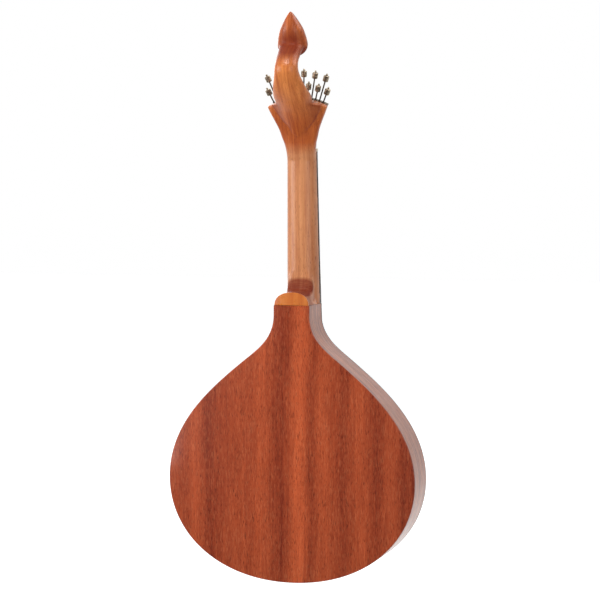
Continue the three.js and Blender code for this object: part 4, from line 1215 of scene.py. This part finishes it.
def notched_bar(half_length, foot, top, low, high, notches):
    """A bar across the strings with a rounded top and a notch for each (place, depth, radius)."""
    places = {round(half_length * share, 6) for share in spread(60)}
    for across, _, radius in notches:
        places.update(round(across + radius * share, 6) for share in NOTCH_SHARES)
    middle, half = (low + high) / 2, (high - low) / 2
    rings = []
    for across in sorted(places):
        crest = top(across)
        for place, depth, radius in notches:
            off = abs(across - place) / radius
            if off < NOTCH_SHARES[-1]:
                crest = max(crest, depth - radius * off * NOTCH_SLOPE)
        ring = [(across, crest + half * CREST_SHARE * (1 - y), middle + half * x) for x, y in arc(6)]
        rings.append([(across, foot, low), (across, foot, high)] + ring)
    return loft(rings)


def string_across(place, pitch, gap):
    course = ((COURSE_COUNT - 1) / 2 - place // 2) * pitch
    return course + (gap / 2 if place % 2 == 0 else -gap / 2)


def nut_face(across):
    return BOARD_CAMBER * (across / NUT_HALF_WIDTH) ** 2 - BOARD_THICKNESS - NUT_RISE


def nut_string(place):
    across = string_across(place, NUT_COURSE_PITCH, NUT_PAIR_GAP)
    return across, nut_face(across) - STRING_CLEARANCE - STRING_RADII[place]


def bone_nut():
    notches = []
    for place, radius in enumerate(STRING_RADII):
        across, depth = nut_string(place)
        notches.append((across, depth + radius, radius + NOTCH_PLAY))
    part = notched_bar(
        NUT_HALF_WIDTH, 0.0, lambda across: nut_face(across) - NUT_CREST_DROP, 0.0, NUT_THICKNESS, notches)
    piece("bone_nut", [part], BONE, ["nut"], NECK_FRAME)


# The tuner: a fan of knurled screws, each moving a hook along its slot.
THREAD_LEAD = 0.0004
SMALL_EASE = 0.0002
KNOB_SLANT_TURNS = 3
KNOB_FOOT_SHARES = (0.6, 0.72)
KNOB_TOP_SHARES = (0.66, 0.52)
KNOB_EDGE_DROP_SHARE = 0.22
KNOB_TIP_LIFT = 0.0001
KNOB_TIP_EASE = 0.0007
HOOK_BORE = ((0.0015, -0.003), (0.0015, 0.003), (0.0011, 0.003), (0.0011, -0.003), (0.0015, -0.003))
HOOK_BLOCKS = (
    ((-0.0015, -0.0036, -0.003), (0.0015, -0.0014, 0.003)),
    ((-0.0007, -HOOK_POST_FRONT, -0.0011), (0.0007, -0.0026, 0.0011)),
    ((-0.0007, -HOOK_POST_FRONT, 0.0), (0.0007, 0.0012 - HOOK_POST_FRONT, 0.0034)),
)
# The small screws of the tuner's plate: their angle in the fan and distance from its apex.
PLATE_SCREW_PLACES = ((0.0, 0.0885), (0.0, 0.0535), (0.2513, 0.0885), (-0.2513, 0.0885))
PLATE_SCREW_PROFILE = (
    (0.0017, 0.0), (0.0017, 0.0003), (0.00136, 0.0007), (0.00068, 0.0009), (0.0001, 0.00095))
PLATE_SCREW_SLOT = ((-0.003, -0.002, -0.00025), (0.003, -0.0005, 0.00025))
PLATE_SCREW_TURN = 0.6


def from_middle(place):
    return COURSE_COUNT - 1 - place if place < COURSE_COUNT else place - COURSE_COUNT


def screw_angle(place):
    size = FIRST_SCREW_ANGLE + SCREW_ANGLE_STEP * from_middle(place)
    return size if place < COURSE_COUNT else -size


def knob_foot(place):
    return (LONG_KNOB_RADIUS if from_middle(place) % 2 == 0 else SHORT_KNOB_RADIUS) - KNOB_LENGTH / 2


def screw_frame(place):
    return HEAD_FRAME @ Matrix.Rotation(screw_angle(place), 4, "Y")


def knurled(radius, height, angle):
    """Two sets of slanting creases that cross on the knob's barrel."""
    share = min(max((radius - KNOB_HALF_WIDTH * 0.75) / (KNOB_HALF_WIDTH * 0.2), 0.0), 1.0)
    slant = height * 2 * math.pi / KNOB_LENGTH * KNOB_SLANT_TURNS
    crease = abs(math.cos(KNOB_CREASES * angle + slant)) * abs(math.cos(KNOB_CREASES * angle - slant))
    return radius - KNOB_CREASE_DEPTH * share * (1 - crease)


def threaded(radius, height, angle):
    turn = (height / THREAD_PITCH - angle / (2 * math.pi)) % 1.0
    return radius - THREAD_DEPTH * abs(2 * turn - 1)


def screw_rod(place):
    reach = THREAD_END - THREAD_FOOT
    steps = int(reach / THREAD_PITCH * 4)
    thread = [(THREAD_RADIUS / 2, THREAD_FOOT - THREAD_PITCH / 2)]
    thread += [(THREAD_RADIUS, THREAD_FOOT + reach * step / steps) for step in range(steps + 1)]
    slim = COLLAR_RADIUS - SMALL_EASE
    plain = [
        (SHAFT_RADIUS * 0.75, THREAD_END - SMALL_EASE), (SHAFT_RADIUS, THREAD_END + THREAD_LEAD),
        (SHAFT_RADIUS, COLLAR_FOOT), (slim, COLLAR_FOOT), (COLLAR_RADIUS, COLLAR_FOOT + SMALL_EASE),
        (COLLAR_RADIUS, COLLAR_TOP - SMALL_EASE), (slim, COLLAR_TOP), (SHAFT_RADIUS, COLLAR_TOP),
        (SHAFT_RADIUS, knob_foot(place) + THREAD_LEAD),
    ]
    return [turned(thread, 12, threaded), turned(plain, 20)]


def screw_knob(place):
    foot = knob_foot(place)
    top = foot + KNOB_LENGTH
    tip = top + KNOB_TIP_LENGTH
    first, second = [KNOB_HALF_WIDTH * share for share in KNOB_FOOT_SHARES]
    profile = [(SHAFT_RADIUS, foot), (first, foot), (second, foot + SMALL_EASE)]
    for step in range(KNOB_RINGS + 1):
        along = KNOB_LENGTH * (0.05 + 0.9 * step / KNOB_RINGS)
        short = max(KNOB_EASE - min(along, KNOB_LENGTH - along), 0.0) / KNOB_EASE
        profile.append((KNOB_HALF_WIDTH * (1 - KNOB_EDGE_DROP_SHARE * short ** 2), foot + along))
    first, second = [KNOB_HALF_WIDTH * share for share in KNOB_TOP_SHARES]
    profile += [
        (first, top - SMALL_EASE), (second, top), (KNOB_TIP_RADIUS, top + KNOB_TIP_LIFT),
        (KNOB_TIP_RADIUS, tip - KNOB_TIP_EASE), (KNOB_TIP_RADIUS * 0.8, tip - SMALL_EASE),
        (KNOB_TIP_RADIUS * 0.3, tip),
    ]
    return turned(profile, KNOB_AROUND, knurled)


def string_hook():
    """A rider on the thread with a post through the slot and a lip that keeps the string's loop."""
    parts = [turned(HOOK_BORE, 20, capped=False)] + [soft_block(low, high) for low, high in HOOK_BLOCKS]
    return [moved(part, Matrix.Translation((0.0, 0.0, HOOK_REST))) for part in parts]


def tuners():
    for place in range(SCREW_COUNT):
        label = "%02d" % (place + 1)
        placed = screw_frame(place)
        piece("screw_rod_" + label, screw_rod(place), SHAFT_METAL, ["tuning_screw_" + label],
              placed, "screw_" + label)
        piece("screw_knob_" + label, [screw_knob(place)], KNOB_METAL, (), placed,
              "screw_" + label, KNOB_SHARP_ANGLE)
        piece("hook_" + label, string_hook(), HOOK_METAL, ["string_hook_" + label], placed,
              "hook_" + label)


def plate_screws():
    for number, (angle, radius) in enumerate(PLATE_SCREW_PLACES, 1):
        lying = Matrix.Rotation(math.pi / 2, 4, "X")
        head = loose("screw_form", [moved(turned(PLATE_SCREW_PROFILE, 24), lying)])
        carve(head, loose("slot_form", [soft_block(*PLATE_SCREW_SLOT, 0.05)]))
        part = moved(part_of(opened(head)), Matrix.Rotation(PLATE_SCREW_TURN * number, 4, "Y"))
        place = HEAD_FRAME @ Matrix.Rotation(angle, 4, "Y") @ Matrix.Translation((0, -PLATE_FRONT, radius))
        piece("plate_screw_%d" % number, [part], PLATE_METAL, placed=place)


# The bridge and the tail fittings.
BRIDGE_HALF_OUTLINE = (
    (0.0, 0.0052), (0.006, 0.005), (0.011, 0.0042), (0.016, 0.0026), (0.0195, 0.0008), (0.0215, 0.00015),
    (0.0465, 0.00015), (0.048, 0.0006), (0.048, 0.0028), (0.0472, 0.0046), (0.0455, 0.0062), (0.043, 0.0084),
    (0.0405, 0.0112), (0.0386, 0.0142), (0.0375, 0.0156), (0.036, 0.016),
)
# Inset of the bridge's outline and distance from its upper or lower side.
BRIDGE_EDGE = ((0.0006, 0.0), (0.0002, 0.0002), (0.0, 0.0007))
SADDLE_CREST_RISE = 0.0004
GUARD_BEND = 0.0009
GUARD_SECTIONS = ((0.0004, -1.0), (0.0, -0.985), (0.0, 0.985), (0.0004, 1.0))


def bridge():
    half = [Vector((across, -depth)) for across, depth in BRIDGE_HALF_OUTLINE]
    outline = half + [Vector((-corner.x, corner.y)) for corner in reversed(half[1:])]
    low, high = -SCALE_LENGTH - BRIDGE_WIDTH / 2, -SCALE_LENGTH + BRIDGE_WIDTH / 2
    levels = [(inset, low + step) for inset, step in BRIDGE_EDGE]
    levels += [(inset, high - step) for inset, step in reversed(BRIDGE_EDGE)]
    rings = [[(p.x, p.y, height) for p in drawn_in(outline, inset)] for inset, height in levels]
    piece("bridge_wood", [loft(rings)], EBONY_ACROSS, ["bridge_base"])
    notches = [
        (string_across(place, BRIDGE_COURSE_PITCH, BRIDGE_PAIR_GAP), -SADDLE_TOP - STRING_CLEARANCE,
         radius + NOTCH_PLAY)
        for place, radius in enumerate(STRING_RADII)
    ]
    part = notched_bar(
        SADDLE_HALF_LENGTH, -BRIDGE_HEIGHT - GLUE_GAP, lambda across: -SADDLE_TOP - SADDLE_CREST_RISE,
        -SCALE_LENGTH - SADDLE_WIDTH / 2, -SCALE_LENGTH + SADDLE_WIDTH / 2, notches)
    piece("bone_saddle", [part], BONE, ["bridge_saddle"])


def tail_guard():
    front = -GLUE_GAP - GUARD_THICKNESS
    under, foot = BODY_BOTTOM - GLUE_GAP, BODY_BOTTOM - GLUE_GAP - GUARD_THICKNESS
    top = BODY_BOTTOM + GUARD_FRONT_LENGTH
    outline = [Vector(corner) for corner in (
        (front + GUARD_BEND, foot), (GUARD_UNDER_LENGTH, foot), (GUARD_UNDER_LENGTH, under),
        (-GLUE_GAP, under), (-GLUE_GAP, top), (front + GUARD_BEND, top), (front, top - GUARD_BEND),
        (front, foot + GUARD_BEND), (front + GUARD_BEND / 3, foot + GUARD_BEND / 3),
    )]
    rings = [
        [(GUARD_HALF_LENGTH * share, p.x, p.y) for p in drawn_in(outline, inset)]
        for inset, share in GUARD_SECTIONS
    ]
    piece("bone_guard", [loft(rings)], BONE, ["tail_guard"])


# The strings.
PIN_PLAY = 0.0003
HOOK_PLAY = 0.0014
TAIL_TWIST_LENGTH = 0.005
CORNER_EASE = 0.0015
TAIL_LOOP_RADIUS = 0.0015
LOOP_WIRE_SHARE = 0.8
TWIST_WIRE_SHARE = 0.7
TWIST_RADIUS_SHARE = 1.9
HOOK_LOOP_SIZE = (0.0014, 0.0017)
# How far from the hook each starts or ends: the plain wire, its twist, and an end point that is worked out
# but not used.
WIRE_END = 0.0016
HOOK_TWIST = (0.0018, 0.0075)
MOVED_END = 0.002


def string_route(place):
    """The corners of a string: its pin, the guard, the saddle, the nut's lower and upper edge, its hook."""
    away = STRING_CLEARANCE + STRING_RADII[place]
    tail_across = string_across(place, TAIL_COURSE_PITCH, TAIL_PAIR_GAP)
    tail_foot = BODY_BOTTOM - GLUE_GAP - GUARD_THICKNESS - away + TAIL_STRING_LIFT
    bridge_across = string_across(place, BRIDGE_COURSE_PITCH, BRIDGE_PAIR_GAP)
    nut_across, nut_depth = nut_string(place)
    return [
        Vector((tail_across, TAIL_PIN_SETBACK - TAIL_PIN_RADIUS - PIN_PLAY, tail_foot)),
        Vector((tail_across, -GLUE_GAP - GUARD_THICKNESS - away, tail_foot)),
        Vector((bridge_across, -SADDLE_TOP - away, -SCALE_LENGTH)),
        NECK_FRAME @ Vector((nut_across, nut_depth, 0.0)),
        NECK_FRAME @ Vector((nut_across, nut_depth, NUT_THICKNESS)),
        screw_frame(place) @ Vector((0.0, -HOOK_STRING_HEIGHT, HOOK_REST - HOOK_PLAY)),
    ]


def wrap(start, end, radius, turns):
    """A wire end wound round the string between two points."""
    along = (end - start).normalized()
    side = along.cross(Vector((1.0, 0.0, 0.0))).normalized()
    other = along.cross(side)
    steps = turns * 10
    return [
        start.lerp(end, step / steps) + side * (radius * x) + other * (radius * y)
        for step, (x, y) in enumerate(arc(steps, 2 * math.pi * turns))
    ]


def strings():
    for place, radius in enumerate(STRING_RADII):
        label = "%02d" % (place + 1)
        material = WOUND if place in WOUND_STRINGS else STRING_STEEL
        route = string_route(place)
        pin = route[0]
        back = pin + Vector((0.0, -TAIL_TWIST_LENGTH, 0.0))
        middle = string_across(place, TAIL_COURSE_PITCH, 0.0)
        reach = math.copysign(TAIL_LOOP_RADIUS, pin.x - middle)
        around = [
            Vector((middle + reach * x, TAIL_PIN_SETBACK + TAIL_LOOP_RADIUS * y, pin.z)) for x, y in arc(12)]
        strand = radius / 2
        parts = [
            tube(eased_corners([back] + route[1:5], CORNER_EASE), radius),
            tube([pin] + around + [pin.lerp(back, 0.1)], radius * LOOP_WIRE_SHARE, 6),
        ] + [tube(wrap(pin, back, side * strand, 4), strand, 6) for side in (1, -1)]
        piece("string_length_" + label, parts, material, ["string_" + label])
        placed = screw_frame(place)
        hook = placed @ Vector((0.0, -HOOK_STRING_HEIGHT, HOOK_REST))
        nut_edge, loop_end = route[4:]
        toward = (nut_edge - loop_end).normalized()
        side = toward.cross(placed.to_3x3() @ Vector((0.0, 1.0, 0.0))).normalized()
        wide, tall = HOOK_LOOP_SIZE
        loop = [hook + side * (wide * y) + toward * (tall * x) for x, y in arc(16, 2 * math.pi)]
        near, far = [hook + toward * distance for distance in HOOK_TWIST]
        twist = wrap(near, far, TWIST_RADIUS_SHARE * radius, 5)
        after = piece("string_end_" + label, [
            tube([nut_edge, nut_edge.lerp(loop_end, 0.5), hook + toward * WIRE_END], radius),
            tube(loop, radius * LOOP_WIRE_SHARE, 6), tube(twist, radius * TWIST_WIRE_SHARE, 6),
        ], material, body=None)
        "hook_" + label
        INTO_ROW_FRAME @ nut_edge
        INTO_ROW_FRAME @ (hook + toward * MOVED_END)
        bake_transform(after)


# Solids that keep their own shape and take a finish.
KEPT_SOLIDS = (
    (BARE_WOOD, ("lining_front", "lining_back", "neck_block", "tail_block")),
    (BARE_WOOD_ACROSS, (
        "soundboard_brace_1", "soundboard_brace_2", "back_brace_1", "back_brace_2", "back_brace_3")),
    (PLATE_METAL, ("tuner_plate", "tailpiece")),
)


def dress_solids():
    for material, names in KEPT_SOLIDS:
        for name in names:
            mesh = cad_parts[name].data
            mesh.materials.clear()
            mesh.materials.append(material)


# Floor, light and camera.
CAMERA_PLACE = (-0.99060391, 3.32217528, -0.01970447)
CAMERA_RIGHT = (-0.95821674, -0.28604107, 0.00108495)
CAMERA_UP = (0.01850394, -0.05820094, 0.99813339)
CAMERA_BACK = (-0.285444, 0.9564482, 0.06106201)
CAMERA_LENS = 133.2
SENSOR_WIDTH = 36.0
FLOOR_HEIGHT = -0.95
FLOOR_HALF_WIDTH = 14.0
# The bright patch that the gloss shows: direction, where it starts, where it is full, and how bright.
GLEAM = ((-0.67, -0.02, 0.74), 0.87, 0.96, 5.5)
# Lamps: name, place, width and height, and power.
LIGHTS = (
    ("key_window", (3.3, 2.4, 0.5), (2.2, 2.6), 92.0),
    ("front_box", (-2.2, 3.6, 0.6), (2.6, 3.0), 46.0),
    ("soft_overhead", (0.45, 1.75, 2.7), (1.2, 0.9), 36.0),
    ("far_window", (2.4, -3.0, 1.3), (2.6, 2.6), 60.0),
)
LIGHT_AIM = Vector((0.0, 0.0, -0.25))


def light_paths(tree):
    """Whether the camera sees a spot, and whether gloss or glass does."""
    seen, gloss, glass = [
        node(tree, "LightPath", {}, "Is %s Ray" % kind) for kind in ("Camera", "Glossy", "Transmission")]
    return seen, most(gloss, glass)


def floor_finish():
    """Pale paint. The eye sees it lifted to white, apart from where the guitar shades it."""
    material, spot = finish("floor_paint")
    tree = material.node_tree
    cloud = speckle(spot, 3.0, 3.0)
    paint(material, {
        "Base Color": mixed(cloud, grey(0.6), grey(0.64)), "Roughness": 0.9, "Specular IOR Level": 0.1})
    seen, mirrored = light_paths(tree)
    behind = remap(split(spot)[1], -0.4, 0.6, 1.0, 0.0)
    glow = node(tree, "Emission", {"Strength": most(seen, mirrored * behind) * 0.8})
    dark = node(tree, "Emission", {"Strength": 0.04})
    lift = node(tree, "AddShader", {0: Shade(tree.nodes["Principled BSDF"].outputs[0]), 1: glow})
    dim = node(tree, "MixShader", {0: mirrored * (1.0 - behind), 1: lift, 2: dark})
    backfacing = node(tree, "NewGeometry", {}, "Backfacing")
    under = node(tree, "MixShader", {0: backfacing, 1: dim, 2: node(tree, "BsdfTransparent", {})})
    feed(tree.nodes["Material Output"].inputs["Surface"], under)
    return material


def stage_floor():
    reach = FLOOR_HALF_WIDTH
    corners = [(reach, reach), (-reach, reach), (-reach, -reach), (reach, -reach)]
    mesh = mesh_of("floor", [([(x, y, FLOOR_HEIGHT) for x, y in corners], [(0, 1, 2, 3)])])
    mesh.materials.append(floor_finish())
    linked("floor", mesh)


def studio_air():
    """White where the eye meets it. The gloss shows a room that is white at the back and dark in front."""
    world = bpy.data.worlds.new("studio")
    bpy.context.scene.world = world
    world.use_nodes = True
    tree = world.node_tree
    seen, mirrored = light_paths(tree)
    toward = node(tree, "TexCoord", {}, "Generated")
    _, front, up = split(toward)
    direction, start, full, power = GLEAM
    gleam = remap(vector_maths("DOT_PRODUCT", toward, direction, "Value"), start, full, 0.0, power)
    room = remap(front, -0.2, 0.62, 1.0, 0.04) + gleam
    level = remap(up, -0.1, 0.7, 0.6, 0.34)
    light = mixed(mirrored, join(level, level, level), join(room, room, room))
    back = tree.nodes["Background"].inputs
    feed(back["Color"], mixed(seen, light, grey(1.0)))
    feed(back["Strength"], 1.0)


def lamps():
    for name, place, size, power in LIGHTS:
        data = bpy.data.lights.new(name, "AREA")
        data.shape = "RECTANGLE"
        data.size, data.size_y = size
        data.energy = power
        lamp = linked(name, data)
        lamp.location = place
        lamp.rotation_euler = (LIGHT_AIM - lamp.location).to_track_quat("-Z", "Y").to_euler()


def camera():
    data = bpy.data.cameras.new("photo_view")
    data.lens, data.sensor_width, data.clip_end = CAMERA_LENS, SENSOR_WIDTH, 60.0
    view = linked("photo_view", data)
    turn = Matrix((CAMERA_RIGHT, CAMERA_UP, CAMERA_BACK)).transposed().to_4x4()
    view.matrix_world = Matrix.Translation(CAMERA_PLACE) @ turn
    bpy.context.scene.camera = view


camera()
back_board()
rib("rib_treble", 1, "side_treble")
rib("rib_bass", -1, "side_bass")
front_board()
edge_strip("front_binding", 0.0, BINDING_WIDTH, 0.0, EBONY, ["binding_front"])
edge_strip("front_purfling", 0.0023, 0.0031, -0.00004, BONE)
rosette()
carved_neck()
heel_cap()
fingerboard()
frets()
markers()
bone_nut()
tuners()
plate_screws()
bridge()
tail_guard()
strings()
dress_solids()
stage_floor()
studio_air()
lamps()
bpy.context.scene.view_settings.view_transform = "Standard"
